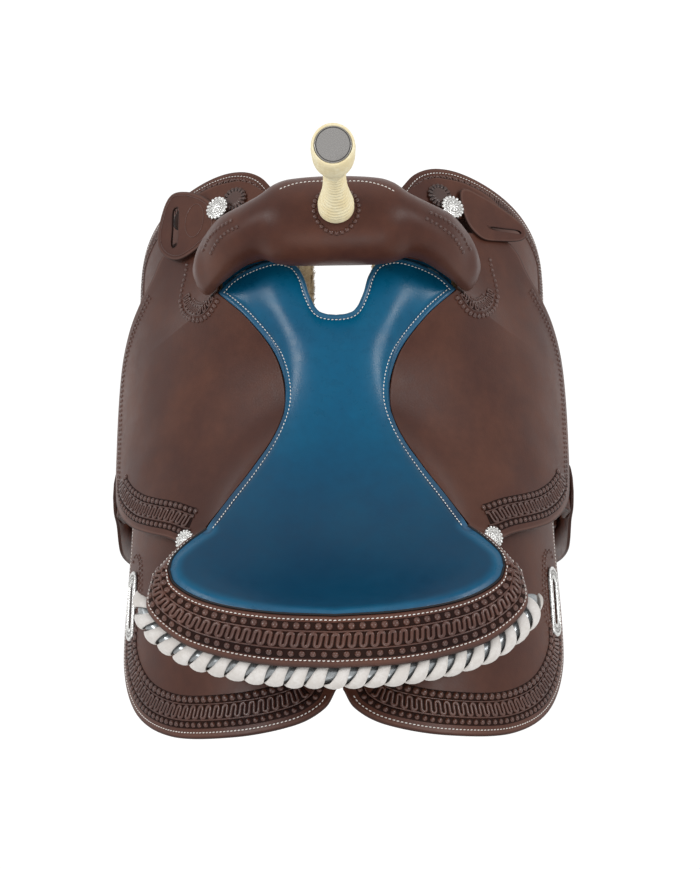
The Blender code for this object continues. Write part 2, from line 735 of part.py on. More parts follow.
def concho(name, place, side):
    """A domed silver disc."""
    drop, y, height, radius = place
    dome = [(0, 1.0), (1.4, 1.0), (3.0, 0.75), (4.2, 0.3)]
    stations = [(height + rise, radius * share) for rise, share in dome]
    turned_on_barrel(name, drop, y, stations, silver(), side)


def build_hardware():
    """Silver conchos, the front ones on rosettes, and the slotted plates."""
    rosette = [(49.5, ROSETTE_RADIUS), (52.3, ROSETTE_RADIUS)]
    height = SKIRT[1] + 1.5 * GAP
    for label, side in SIDES:
        turned_on_barrel("front_rosette_" + label, *FRONT_ROSETTE, rosette, dark(), side)
        concho("front_concho_" + label, FRONT_CONCHO[side], side)
        concho("rear_concho_" + label, REAR_CONCHO, side)
        slot_plate("flank_plate_" + label, *FLANK_PLATE, height, (82, 24), (54, 11), 1.8, silver(), side)
        slot_plate("rigging_plate_" + label, *RIGGING_PLATE, height, (84, 34), (54, 12), 2.0, steel(), side)


def build_leathers():
    """Everything that hangs: stirrup leather, fender, sliding strap, stirrup."""
    for label, side in SIDES:
        flip = np.array([side, 1, 1])
        half = 37.0
        narrow = half - 4
        inner = [(132, LEATHER_Y + half), (132, LEATHER_Y - half)]
        outer = [(303, LEATHER_Y + narrow), (303, LEATHER_Y - narrow)]
        level_panel("upper_stirrup_leather_" + label, inner, outer, UPPER_LEATHER, brown(), side, rows=8,
                    columns=2)
        lift = np.array([LIFT_X, LEATHER_Y, LIFT_Z]) * flip
        swing = np.array([FENDER_X[0], LEATHER_Y, SWING_Z]) * flip
        bolt = np.array([BOLT_X, LEATHER_Y, BOLT_Z]) * flip
        build_hanger(label, flip, lift)
        build_fender(label, flip, swing)
        build_strap(label, flip, bolt)
        build_stirrup(label, flip, bolt)


def build_hanger(label, flip, origin):
    """The bend of the leather below the jockey, which lifts outward."""
    half_thick = LEATHER_THICK / 2
    path = [(LIFT_X - 1.5, LIFT_Z, 31), (LIFT_X + 5, LIFT_Z - 10, 32), (TAB_X - 0.25, LIFT_Z - 22, 33),
            (TAB_X, -195, 33), (TAB_X, -210, 32), (TAB_X, -224, 26), (TAB_X, -233, 14)]
    top = []
    bottom = []
    for x, z, half in path:
        slant = BEND_SLANT if z > -180 else 0.0
        shift = half_thick * np.array([math.cos(slant), 0, math.sin(slant)])
        row = np.array([(x, LEATHER_Y + half * t, z) for t in (-1, -0.5, 0, 0.5, 1)])
        top.append((row + shift) * flip)
        bottom.append((row - shift) * flip)
    slab("leather_hanger_" + label, np.array(top), np.array(bottom), brown(), origin)


def build_fender(label, flip, origin):
    front = smooth_line([(FENDER_X[1], y, z) for y, z in FENDER_FRONT], 14)
    rear = smooth_line([(FENDER_X[1], y, z) for y, z in FENDER_REAR], 14)
    top = between(front, rear, 3)
    bottom = top - np.array([FENDER_X[1] - FENDER_X[0], 0, 0])
    slab("fender_" + label, top * flip, bottom * flip, brown(), origin)
    outside = sleeve_ring(261.6, 285.4, 34.0)
    inside = sleeve_ring(263.2, 282.2, 32.0)
    sleeve("leather_buckle_" + label, outside, inside, BUCKLE_LEVELS, steel(), flip, origin)


def sleeve_ring(x_low, x_high, half):
    return [(x_low, LEATHER_Y - half), (x_high, LEATHER_Y - half), (x_high, LEATHER_Y + half),
            (x_low, LEATHER_Y + half)]


def sleeve(name, outside, inside, levels, finish, flip, origin):
    """An upright sleeve round the leathers, between two levels."""
    low, high = levels
    rings = []
    for loop, z in ((outside, low), (outside, high), (inside, high), (inside, low)):
        rings.append([(x * flip[0], y, z) for x, y in loop])
    return loft(name, rings, finish, origin, closed=True)


def build_strap(label, flip, bolt):
    """The adjustable stirrup leather: down, round the stirrup's bolt and up again."""
    inner_radius = BOLT_RADIUS + 0.6
    outer_radius = inner_radius + STRAP_THICK
    heights = [STRAP_TOP, -400.0, BOLT_Z]
    turns = [math.pi + math.pi * k / 8 for k in range(1, 8)]
    rings = []
    front, rear = LEATHER_Y + STRAP_WIDTH / 2, LEATHER_Y - STRAP_WIDTH / 2
    stations = [(-1, 0, z) for z in heights]
    stations += [(math.cos(turn), math.sin(turn), BOLT_Z) for turn in turns]
    stations += [(1, 0, z) for z in reversed(heights)]
    for c, s, z in stations:
        near_x, near_z = (BOLT_X + inner_radius * c) * flip[0], z + inner_radius * s
        far_x, far_z = (BOLT_X + outer_radius * c) * flip[0], z + outer_radius * s
        rings.append([(near_x, rear, near_z), (near_x, front, near_z),
                      (far_x, front, far_z), (far_x, rear, far_z)])
    loft("stirrup_strap_" + label, rings, brown(), bolt)
    outside = sleeve_ring(BOLT_X - outer_radius - 3.2, BOLT_X + outer_radius + 3.0, 34.5)
    inside = sleeve_ring(BOLT_X - outer_radius - 0.6, BOLT_X + outer_radius + 0.5, 31.0)
    sleeve("hobble_strap_" + label, outside, inside, HOBBLE_LEVELS, dark(), flip, bolt)
    face, back = sorted([(BOLT_X - outer_radius - 3.6) * flip[0], (BOLT_X - outer_radius - 6.0) * flip[0]])
    low, high = HOBBLE_LEVELS[0] - 2, HOBBLE_LEVELS[1] + 2
    box("hobble_buckle_" + label, (face, LEATHER_Y - 10, low), (back, LEATHER_Y + 10, high), steel(), bolt)


def build_stirrup(label, flip, bolt):
    """Bell stirrup on its bolt, with a rubber tread."""
    wall = 7.0
    half = STIRRUP_WIDTH / 2
    drop = STIRRUP_DROP
    inside = [(-39.5, 16), (-39.5, 0), (-40, -18), (-50, -48), (-60, -82), (-half, -108), (-half, -122),
              (-half + 8, -drop + wall)]
    widths = [15, 19, 19, 20, 24, 29, 31, 32]
    reach = widths + widths[::-1]
    line = np.array(inside + [(-y, z) for y, z in reversed(inside)], float)
    tangent = np.gradient(line, axis=0)
    tangent = tangent / np.linalg.norm(tangent, axis=1)[:, None]
    away = np.stack([tangent[:, 1], -tangent[:, 0]], axis=-1)
    rings = []
    for (y, z), (dy, dz), width in zip(line, away, reach):
        far = (y + dy * wall, z + dz * wall)
        ring = [(-width, y, z), (width, y, z), (width, *far), (-width, *far)]
        rings.append([((BOLT_X + a) * flip[0], LEATHER_Y + b, BOLT_Z + c) for a, b, c in ring])
    frame = loft("stirrup_frame_" + label, rings, steel(), bolt)
    centre = (BOLT_X * flip[0], BOLT_Z)
    hole = [(LEATHER_Y - 60, BOLT_RADIUS + 0.4), (LEATHER_Y + 60, BOLT_RADIUS + 0.4)]
    boolean(frame, rod_along_y("bolt_hole_cutter_" + label, hole, centre, steel()), "DIFFERENCE")
    end = 47.5
    head = 8.5
    stations = [(-end - 4, head), (-end, head), (-end, BOLT_RADIUS), (end, BOLT_RADIUS)]
    stations = [(LEATHER_Y + y, radius) for y, radius in stations]
    rod_along_y("stirrup_bolt_" + label, stations, centre, steel(), bolt)
    floor = BOLT_Z - drop + wall + 0.5
    pad = half - 10
    box("stirrup_tread_" + label, (BOLT_X * flip[0] - 30, LEATHER_Y - pad, floor),
        (BOLT_X * flip[0] + 30, LEATHER_Y + pad, floor + 5), black_rubber(), bolt)


def main():
    remove_everything()
    build_tree_bars()
    build_fork()
    build_horn()
    build_seat()
    build_cantle()
    build_lacing()
    build_skirts()
    build_jockeys()
    build_hardware()
    build_leathers()


main()
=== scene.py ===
"""Looks of a western barrel racing saddle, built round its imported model.

X is to the rider's right, Y towards the horse's head, Z up. Lengths are written in
millimetres and become metres in add_piece. Leather that lies on the horse's back is laid
out flat as places (drop, y, height): drop is measured from the ridge along the ribs.
"""

import math

import bpy
import numpy as np
from mathutils import Matrix, Vector
from mathutils.bvhtree import BVHTree


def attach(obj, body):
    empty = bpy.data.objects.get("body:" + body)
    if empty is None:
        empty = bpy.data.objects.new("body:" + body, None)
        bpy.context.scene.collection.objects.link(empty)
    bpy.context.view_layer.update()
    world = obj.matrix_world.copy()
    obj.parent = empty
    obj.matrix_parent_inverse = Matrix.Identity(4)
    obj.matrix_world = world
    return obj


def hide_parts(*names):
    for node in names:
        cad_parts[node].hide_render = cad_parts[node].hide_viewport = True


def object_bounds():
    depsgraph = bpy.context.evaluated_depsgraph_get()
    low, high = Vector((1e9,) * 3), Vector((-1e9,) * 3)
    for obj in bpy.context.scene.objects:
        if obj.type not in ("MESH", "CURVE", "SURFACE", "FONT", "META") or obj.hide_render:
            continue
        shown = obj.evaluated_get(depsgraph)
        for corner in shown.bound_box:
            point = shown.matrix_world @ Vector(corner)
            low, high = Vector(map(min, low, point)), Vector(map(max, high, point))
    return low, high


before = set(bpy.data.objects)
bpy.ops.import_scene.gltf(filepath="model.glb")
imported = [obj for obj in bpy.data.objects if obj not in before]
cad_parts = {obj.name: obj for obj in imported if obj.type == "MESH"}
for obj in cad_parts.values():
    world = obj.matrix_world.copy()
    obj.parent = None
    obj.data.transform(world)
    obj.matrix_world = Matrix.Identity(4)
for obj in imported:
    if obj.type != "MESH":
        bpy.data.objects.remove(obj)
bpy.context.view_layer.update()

MM = 0.001
SIDES = (("right", 1), ("left", -1))
RNG = np.random.default_rng(11)

# The photograph's view, in millimetres, pixels and radians.
EYE = np.array([30.3, -394.9, 1207.8])
AIM = np.array([13.4, -2.9, 75.0])
FOCAL = 1135.1
PHOTO = (700.0, 869.0)
CROOKED = -0.0086
SENSOR = 36.0

# The horse's back and the layers of leather on it.
BARREL = 260.0
RISE = 12.0
RISE_REACH = 330.0
FLEECE = (0.6, 17.4)
SKIRT = (19.2, 25.0)
UPPER_LEATHER = (30.5, 34.0)
TREE_TOP = 43.5
REAR_JOCKEY = (45.0, 48.5)
JOCKEY_THICK = 3.8
SEAM_GAP = 1.0
SEAT_LEATHER = 4.0
SEAT_FOAM = 9.0
FOAM_GAP = 1.2

# Seat outline, right half, on its upper face.
SEAT_FRONT = [(0, 125, 95), (19, 132, 95), (29, 151, 96), (35, 171, 98), (45, 186, 100),
              (62, 193, 98), (82, 192, 94), (104, 188, 82), (120, 180, 75), (132, 168, 70)]
SEAM = [(132, 168, 70), (97, 133, 76), (66, 90, 72), (55, 45, 66), (63, 8, 66),
        (88, -36, 73), (112, -75, 87), (131, -111, 105)]
SEAM_ROWS = 9
TIP_ROWS = 3
HALF_COLUMNS = 10
SEAT_DISH = 14.0
FINE = 12

# Cantle rim and the outer edge of its roll, centre to corner to tip.
ROLL = [((0, -213, 182), (0, -258, 165)), ((55, -209, 175), (61, -254, 158)),
        ((102, -200, 162), (113, -243, 149)), ((134, -188, 150), (152, -226, 139)),
        ((155, -173, 139), (182, -196, 128)), ((162, -158, 131), (181, -161, 118)),
        ((160, -143, 122), (166, -141, 112)), ((148, -127, 114), (152, -124, 108)),
        ((131, -111, 105), (135, -112, 104))]
ROLL_CORNER = 5

# Leather outlines on the barrel, right side.
SKIRT_INNER = [(62, 308), (46, 285), (42, 240), (42, 100), (40, -60), (36, -150), (20, -205), (3, -235)]
SKIRT_OUTER = [(62, 308), (88, 346), (128, 361), (192, 357), (258, 343), (302, 320), (316, 284),
               (308, 205), (301, 60), (294, -60), (299, -180), (285, -231), (241, -277),
               (178, -303), (103, -307), (45, -298), (15, -282), (3, -262)]
FLEECE_INNER = [(58, 309), (43, 286), (29, 240), (29, 110), (37, -60), (33.5, -150), (18.6, -205.6),
                (2.8, -235.7)]
JOCKEY_FRONT = [(120, 262, 34), (122, 235, 40), (131, 205, 44), (134, 184, 52), (132, 168, 70)]
JOCKEY_OUTER = [(152, 270, 50), (182, 277, 49), (205, 267, 49), (222, 246, 48.5), (245, 226, 48.5),
                (275, 200, 48), (297, 165, 48), (305, 120, 48), (303, 60, 48), (293, -8, 48),
                (272, -38, 48), (240, -62, 48.5), (210, -76, 49), (178, -88, 50), (158, -98, 54),
                (137, -106, 74)]
FRONT_JOCKEY_INNER = [(60, 232), (60, 270), (66, 300), (88, 324)]
FRONT_JOCKEY_OUTER = [(88, 232), (92, 260), (122, 284), (168, 290), (186, 304), (176, 322), (140, 332),
                      (104, 331)]
REAR_JOCKEY_INNER = [(5, -224), (50, -219), (95, -209), (128, -192), (142, -165), (140, -135), (126, -106)]
REAR_JOCKEY_OUTER = [(5, -246), (45, -252), (95, -248), (138, -228), (160, -196), (168, -160),
                     (168, -130), (154, -103)]
# The latigo keeper and the strap holder are stiff: flat, and level with the barrel at their middle only.
KEEPER = [(180, 336), (159, 332), (136, 316), (121, 295), (121, 268), (142, 252), (167, 246),
          (187, 258), (197, 281), (192, 316)]
KEEPER_SLOT = [(173, 316), (169, 312), (169, 290), (170, 268), (174, 264), (178, 268), (177, 290), (177, 312)]
KEEPER_MIDDLE = (152, 291)
STRAP = [(126, 318), (152, 319), (190, 308), (208, 296), (205, 280), (174, 268), (149, 264), (130, 282)]
STRAP_SLOT = [(162, 282), (182, 286.5), (200, 290.5), (201, 286.5), (183, 282.5), (163, 278)]
STRAP_MIDDLE = (154, 292)
FRONT_CONCHO = {1: (115, 291, 56.4, 14.5), -1: (118, 293, 61.4, 14.5)}
REAR_CONCHO = (132, -106, 76.0, 12.0)
FRONT_ROSETTE = (104, 306)
FLANK_PLATE = (272.0, -147.0)
RIGGING_PLATE = (262.0, 188.0)

# Fork, as stations across: x, middle y, middle z, half depth, half height. The last two close the tip.
FORK = [(0, 211, 148, 48, 42), (42, 210.5, 147, 46.5, 42), (62, 209.5, 146, 42, 40),
        (80, 208, 141, 32, 37), (100, 205, 128, 31, 37), (125, 200, 107, 34, 38),
        (143, 196, 82, 32, 37), (153, 192, 78, 21, 26), (158, 191, 77, 9, 11), (159.4, 191, 77, 4.5, 4.5),
        (159.8, 191, 77, 0.5, 0.5)]
FORK_LEATHER = 3.5
# Thread and bead rows on the fork, in pixels of the photograph.
FORK_THREAD = [("left", [(281, 188.6), (290, 185.2), (300, 182.8), (312, 181.6), (322, 181.2)]),
               ("right", [(346, 181.2), (360, 181.2), (372, 182.8), (384, 186.2), (393, 190.6)])]
FORK_BEADS = [[(470, 249), (461, 233), (447, 221), (431, 213)],
              [(463, 252), (454, 238), (441, 227), (427, 219)],
              [(203, 250), (209, 238), (219, 228), (231, 221)],
              [(211, 253), (217, 242), (226, 233), (237, 227)]]
HORN_X, HORN_Y, HORN_Z, HORN_HEIGHT = 3.0, 202.0, 191.2, 102.0
WRAP_PITCH = 4.0

# Lace under the cantle roll: it is wound round a cord that hangs a little below the roll's edge.
LACE_LOOPS = 24
LACE_STEPS = 40
LACE_COIL = 11.9
CORD_RADIUS = 8.4
LACE_END_Y = -184
LACE_DEPTH = 20.2

# Hanging leathers
LIFT_X, LIFT_Z = 271.0, -149.5
LEATHER_Y = 10.0
TAB_X = 283.75
FENDER_X = (286.0, 290.0)
FENDER_FRONT = [(18, -165), (38, -176), (50, -196), (82, -214), (96, -232), (97, -270), (88, -330),
                (68, -400), (48, -455), (44, -500)]
FENDER_REAR = [(2, -165), (-18, -176), (-30, -196), (-50, -214), (-59, -232), (-60, -270), (-54, -330),
               (-42, -400), (-28, -455), (-24, -500)]
BOLT_X, BOLT_Z = 272.7, -560.0
BOLT_RADIUS = 5.0
STRAP_GAP = 0.6
STRAP_THICK = 3.5
STRAP_TOP = -255.0


# ---------------------------------------------------------------- lines and surfaces

def unit(vectors):
    """Vectors made one long."""
    return vectors / np.linalg.norm(vectors, axis=-1, keepdims=True)


def smooth_line(points, count, loop=False):
    """Even steps along the curve through the points: each stretch is a cubic blend of its four neighbours."""
    knots = np.array(points, float)
    if loop:
        knots = np.vstack([knots, knots[:1]])
        ends = np.vstack([knots[-2], knots, knots[1]])
    else:
        ends = np.vstack([2 * knots[0] - knots[1], knots, 2 * knots[-1] - knots[-2]])
    a, b, c, d = (ends[k:k + len(knots) - 1, None] for k in range(4))
    t = np.linspace(0, 1, 41)[None, :-1, None]
    curve = 2 * b + (c - a) * t + (2 * a - 5 * b + 4 * c - d) * t ** 2 + (3 * b - a - 3 * c + d) * t ** 3
    fine = np.vstack([0.5 * curve.reshape(-1, knots.shape[1]), knots[-1:]])
    length = running_length(fine)
    wanted = np.linspace(0, length[-1], count + 1 if loop else count)
    line = np.stack([np.interp(wanted, length, column) for column in fine.T], axis=-1)
    return line[:-1] if loop else line


def running_length(line):
    """Length run along a line at each of its points."""
    return np.concatenate([[0], np.cumsum(np.linalg.norm(np.diff(line, axis=0), axis=1))])


def back_rise(y):
    """How far the back rises towards the withers and the croup."""
    return RISE * (y / RISE_REACH) ** 2


def drape(places):
    """Lay (drop, y, height) places on the horse's back: a circle of the barrel's radius plus the height."""
    places = np.asarray(places, float)
    drop, y, height = places[..., 0], places[..., 1], places[..., 2]
    reach = BARREL + height
    return np.stack([reach * np.sin(drop / BARREL), y,
                     reach * np.cos(drop / BARREL) - BARREL + back_rise(y)], axis=-1)


def undrape(points):
    """The inverse of drape."""
    points = np.asarray(points, float)
    up = points[..., 2] + BARREL - back_rise(points[..., 1])
    return np.stack([BARREL * np.arctan2(points[..., 0], up), points[..., 1],
                     np.hypot(points[..., 0], up) - BARREL], axis=-1)


def mirrored(half):
    """A whole edge from its right half, left end first."""
    return np.vstack([half[:0:-1] * np.array([-1, 1, 1]), half])


def rim_and_edge(fine):
    """Right halves of the cantle rim and of its roll's edge, with steps finer than the model's."""
    pairs = [rim + edge for rim, edge in ROLL]
    wing = smooth_line(pairs[:ROLL_CORNER + 1], HALF_COLUMNS * fine + 1)
    tip = smooth_line(pairs[ROLL_CORNER:], TIP_ROWS * fine + 1)
    pairs = np.vstack([wing, tip[1:]])
    return pairs[:, :3], pairs[:, 3:]


def seat_grid(fine):
    """Upper face of the seat: straight rows between both sides, plus the fading rises of its front and rim,
    less a shallow dish."""
    half = HALF_COLUMNS * fine
    rim, _ = rim_and_edge(fine)
    front = mirrored(smooth_line(SEAT_FRONT, half + 1))
    rear = mirrored(rim[:half + 1])
    side = np.vstack([smooth_line(SEAM, SEAM_ROWS * fine + 1), rim[half:-1][::-1]])
    v = np.linspace(0, 1, 2 * half + 1)[None, :, None]
    u = np.linspace(0, 1, len(side))[:, None, None]
    rows = (side * np.array([-1, 1, 1]))[:, None] * (1 - v) + side[:, None] * v
    front_rise = front[None] - (front[0] * (1 - v) + front[-1] * v)
    rear_rise = rear[None] - (rear[0] * (1 - v) + rear[-1] * v)
    rows = rows + front_rise * np.concatenate([1 - u, 1 - u, (1 - u) ** 2], axis=2)
    rows = rows + rear_rise * np.concatenate([u, u, u ** 6], axis=2)
    rows[..., 2] -= SEAT_DISH * 4 * (v * (1 - v))[..., 0] * np.sin(math.pi * u[..., 0] ** 2.4)
    return rows


def grid_normals(grid, wrap=False):
    """Unit normals of a grid of points: the cross product of its two gradients."""
    down = np.gradient(grid, axis=0)
    if wrap:
        along = (np.roll(grid, -1, axis=1) - np.roll(grid, 1, axis=1)) / 2
    else:
        along = np.gradient(grid, axis=1)
    return unit(np.cross(down, along) + 1e-12)


def distance_to(points, line):
    """Least distance from each point to a line, taken at closely spaced points of it."""
    shape = points.shape[:-1]
    flat = points.reshape(-1, points.shape[-1])
    blocks = [np.linalg.norm(flat[k:k + 4000, None] - line[None], axis=-1).min(axis=1)
              for k in range(0, len(flat), 4000)]
    return np.concatenate(blocks).reshape(shape)


def fade(x, low, high):
    """Smooth step from 0 at low to 1 at high."""
    t = np.clip((x - low) / (high - low), 0, 1)
    return t * t * (3 - 2 * t)


def lattice_noise(points, size, seed):
    """Smooth noise from -1 to 1: random values on a cubic lattice of that size, blended in between."""
    place = np.asarray(points, float) / size + 1000.0
    cell = np.floor(place).astype(np.int64)
    t = place - cell
    t = t * t * (3 - 2 * t)
    total = np.zeros(place.shape[:-1])
    for corner in range(8):
        pick = np.array([corner & 1, corner >> 1 & 1, corner >> 2 & 1])
        spot = cell + pick
        key = spot[..., 0] * 73856093 ^ spot[..., 1] * 19349663 ^ spot[..., 2] * 83492791 ^ seed * 2654435761
        key = (key ^ key >> 13) * 1274126177 & 0x7FFFFFFF
        value = (key ^ key >> 16) % 65536 / 32768.0 - 1
        total += value * np.prod(np.where(pick, t, 1 - t), axis=-1)
    return total


def edge_drop(distance, radius):
    """How far a round edge of that radius falls below its leather's face, at a distance from the edge."""
    inside = np.clip(1 - distance / radius, 0, 1)
    return radius * (1 - np.sqrt(1 - inside ** 2))


# ---------------------------------------------------------------- meshes

def volume(points, faces):
    """Signed volume of a closed mesh: a sixth of the triple products over its triangles."""
    total = 0.0
    for group in faces:
        first = points[group[:, 0]]
        for k in range(1, group.shape[1] - 1):
            total += np.einsum("ij,ij->", first, np.cross(points[group[:, k]], points[group[:, k + 1]]))
    return total / 6


def add_piece(name, points, faces, finish, body="saddle", replaces=(), slot=None, marks=None, sharp=None):
    """One mesh from millimetre points and arrays of face corners, turned outward and riding on a body."""
    points = np.asarray(points, float).reshape(-1, 3)
    faces = [np.asarray(group, np.int64) for group in faces if len(group)]
    if volume(points, faces) < 0:
        faces = [group[:, ::-1] for group in faces]
    used = np.unique(np.concatenate([group.ravel() for group in faces]))
    fresh = np.zeros(len(points), np.int64)
    fresh[used] = np.arange(len(used))
    corners = fresh[np.concatenate([group.ravel() for group in faces])]
    sizes = np.concatenate([np.full(len(group), group.shape[1]) for group in faces])
    mesh = bpy.data.meshes.new(name)
    mesh.vertices.add(len(used))
    mesh.vertices.foreach_set("co", (points[used] * MM).astype(np.float32).ravel())
    mesh.loops.add(len(corners))
    mesh.loops.foreach_set("vertex_index", corners.astype(np.int32))
    mesh.polygons.add(len(sizes))
    mesh.polygons.foreach_set("loop_start", np.concatenate([[0], np.cumsum(sizes)[:-1]]).astype(np.int32))
    mesh.update(calc_edges=True)
    mesh.validate()
    for mark, values in (marks or {}).items():
        layer = mesh.attributes.new(mark, "FLOAT", "POINT")
        layer.data.foreach_set("value", np.asarray(values, np.float32).ravel()[used])
    mesh.materials.append(finish)
    mesh.shade_smooth()
    if sharp:
        mesh.set_sharp_from_angle(angle=math.radians(sharp))
    item = bpy.data.objects.new(name, mesh)
    bpy.context.scene.collection.objects.link(item)
    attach(item, body)
    if replaces:
        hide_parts(*replaces)
    return item


def sheet_faces(rows, columns, wrap=False):
    """Corners of a closed sheet: upper grid, lower grid, and walls round its borders."""
    index = np.arange(rows * columns).reshape(rows, columns)
    if wrap:
        index = np.hstack([index, index[:, :1]])
    count = rows * columns
    quads = np.stack([index[:-1, :-1], index[:-1, 1:], index[1:, 1:], index[1:, :-1]], axis=-1).reshape(-1, 4)
    borders = [index[0], index[-1, ::-1]]
    if not wrap:
        borders += [index[:, -1], index[::-1, 0]]
    walls = [np.stack([line[1:], line[:-1], line[:-1] + count, line[1:] + count], axis=-1)
             for line in borders]
    return [np.vstack([quads, quads[:, ::-1] + count] + walls)]


def sheet(name, top, bottom, finish, body="saddle", wrap=False, marks=None, **told):
    """A closed sheet between two grids of points, with marks given for the upper grid."""
    rows, columns = top.shape[:2]
    points = np.concatenate([top.reshape(-1, 3), bottom.reshape(-1, 3)])
    both = {mark: np.concatenate([values.ravel(), values.ravel()]) for mark, values in (marks or {}).items()}
    return add_piece(name, points, sheet_faces(rows, columns, wrap), finish, body, marks=both, **told)


def tube_mesh(rings, closed=False):
    """Points and corners of rings of points joined into a tube, with a fan on each end unless closed."""
    rings = np.asarray(rings, float)
    count, size = rings.shape[:2]
    index = np.arange(count * size).reshape(count, size)
    if closed:
        index = np.vstack([index, index[:1]])
    after = np.roll(index, -1, axis=1)
    quads = np.stack([index[:-1], after[:-1], after[1:], index[1:]], axis=-1).reshape(-1, 4)
    points = rings.reshape(-1, 3)
    if closed:
        return points, [quads]
    points = np.vstack([points, rings[0].mean(axis=0), rings[-1].mean(axis=0)])
    start = np.stack([after[0], index[0], np.full(size, len(points) - 2)], axis=-1)
    end = np.stack([index[-1], after[-1], np.full(size, len(points) - 1)], axis=-1)
    return points, [quads, np.vstack([start, end])]


def lathe(profile, axes, around=64):
    """Rings of (radius, rise) profile points about an axis: middle, two directions across and one along."""
    middle, across, forward, along = axes
    turn = np.linspace(0, 2 * math.pi, around, endpoint=False)
    profile = np.asarray(profile, float)
    ring = np.cos(turn)[:, None] * across + np.sin(turn)[:, None] * forward
    return middle + profile[:, :1, None] * ring[None] + profile[:, 1:, None] * along


def copies(template, faces, origins, axes):
    """Many copies of a small closed shape, each turned to its own three directions."""
    points = origins[:, None] + np.einsum("vk,nkc->nvc", template, axes)
    steps = (np.arange(len(origins)) * len(template))[:, None, None]
    groups = [(group[None] + steps).reshape(-1, group.shape[1]) for group in faces]
    return points.reshape(-1, 3), groups


def joined(parts):
    """One set of points and corners from several."""
    points, groups, count = [], {}, 0
    for part_points, part_faces in parts:
        for group in part_faces:
            groups.setdefault(group.shape[1], []).append(group + count)
        points.append(part_points)
        count += len(part_points)
    return np.vstack(points), [np.vstack(group) for group in groups.values()]


# ---------------------------------------------------------------- where work on the leather goes

def level_skin(height, side):
    """The face of level leather on the barrel: (drop, y) places to points and outward directions."""
    def skin(places):
        """Places on the level leather."""
        places = np.asarray(places, float)
        points = drape(np.column_stack([places, np.full(len(places), height)]))
        angle = places[:, 0] / BARREL
        outward = np.column_stack([np.sin(angle), np.zeros(len(places)), np.cos(angle)])
        return points * (side, 1, 1), outward * (side, 1, 1)
    return skin


def tree_of(grid, wrap=False):
    """A search tree over the faces of a grid of points."""
    rows, columns = grid.shape[:2]
    faces = sheet_faces(rows, columns, wrap)[0][:(rows - 1) * (columns if wrap else columns - 1)]
    return BVHTree.FromPolygons(grid.reshape(-1, 3).tolist(), faces.tolist())


def struck(tree, starts, directions, facing):
    """First points of a surface met along straight lines, with normals that look back along them."""
    hits = [tree.ray_cast(Vector(start), Vector(way)) for start, way in zip(starts, directions)]
    fallback = [tree.find_nearest(Vector(start + way * 200)) if hit[0] is None else hit
                for hit, start, way in zip(hits, starts, directions)]
    points = np.array([hit[0] for hit in fallback], float)
    normals = np.array([hit[1] for hit in fallback], float)
    turn = np.sign(np.einsum("ij,ij->i", normals, facing))
    return points, normals * np.where(turn == 0, 1, turn)[:, None]


def draped_skin(tree, side):
    """Leather of changing height: each (drop, y) place is dropped on it towards the barrel's middle."""
    def skin(places):
        """Places dropped on the leather."""
        places = np.asarray(places, float)
        above = drape(np.column_stack([places, np.full(len(places), 160.0)]))
        angle = places[:, 0] / BARREL
        outward = np.column_stack([np.sin(angle), np.zeros(len(places)), np.cos(angle)])
        points, normals = struck(tree, above, -outward, outward)
        return points * (side, 1, 1), normals * (side, 1, 1)
    return skin


def view_axes():
    """Directions ahead, right and up of the photograph's camera, which was held a little crooked."""
    ahead = unit(AIM - EYE)
    right = unit(np.cross(ahead, (0, 1, 0)))
    up = np.cross(right, ahead)
    c, s = math.cos(CROOKED), math.sin(CROOKED)
    return ahead, c * right + s * up, c * up - s * right


def seen_skin(tree, side=1):
    """Leather met along the line of sight of each pixel of the photograph; side -1 mirrors it."""
    ahead, right, up = view_axes()

    def skin(pixels):
        """Pixels sent out to the leather."""
        pixels = np.asarray(pixels, float)
        sights = unit(ahead * FOCAL + right * (pixels[:, :1] - PHOTO[0] / 2)
                      + up * (PHOTO[1] / 2 - pixels[:, 1:]))
        points, normals = struck(tree, np.repeat(EYE[None], len(pixels), axis=0), sights, -sights)
        return points * (side, 1, 1), normals * (side, 1, 1)
    return skin


def even_frames(skin, line, step, dense=400):
    """Evenly spaced points of a line on a skin, with directions along, across and outward."""
    line = smooth_line(line, dense) if len(line) < dense else np.asarray(line, float)
    points, normals = skin(line)
    length = running_length(points)
    count = max(2, int(round(length[-1] / step)) + 1)
    wanted = np.linspace(0, length[-1], count)
    points = np.stack([np.interp(wanted, length, column) for column in points.T], axis=-1)
    normals = unit(np.stack([np.interp(wanted, length, column) for column in normals.T], axis=-1))
    along = unit(np.gradient(points, axis=0))
    across = unit(np.cross(normals, along))
    return points, along, across, np.cross(along, across)


def inset(line, distance, closed=False):
    """A (drop, y) line moved to its right hand by a distance."""
    if closed:
        along = unit(np.roll(line, -1, axis=0) - np.roll(line, 1, axis=0))
    else:
        along = unit(np.gradient(line, axis=0))
    return line + np.stack([along[:, 1], -along[:, 0]], axis=-1) * distance


# ---------------------------------------------------------------- thread, beads and stamped work

def stitch_shape(length, radius):
    """One stitch: a half-buried bar whose middle stands up and whose ends dip into the leather."""
    x = np.linspace(-0.5, 0.5, 6)
    turn = np.linspace(0, 2 * math.pi, 6, endpoint=False)
    swell = np.sqrt(np.clip(1 - (1.85 * x) ** 2, 0.05, 1))
    rings = np.stack([np.broadcast_to((x * length)[:, None], (6, 6)),
                      radius * swell[:, None] * np.cos(turn),
                      radius * (0.9 * swell[:, None] * np.sin(turn) + 0.55 - 5.2 * (x ** 2)[:, None])],
                     axis=-1)
    return tube_mesh(rings)


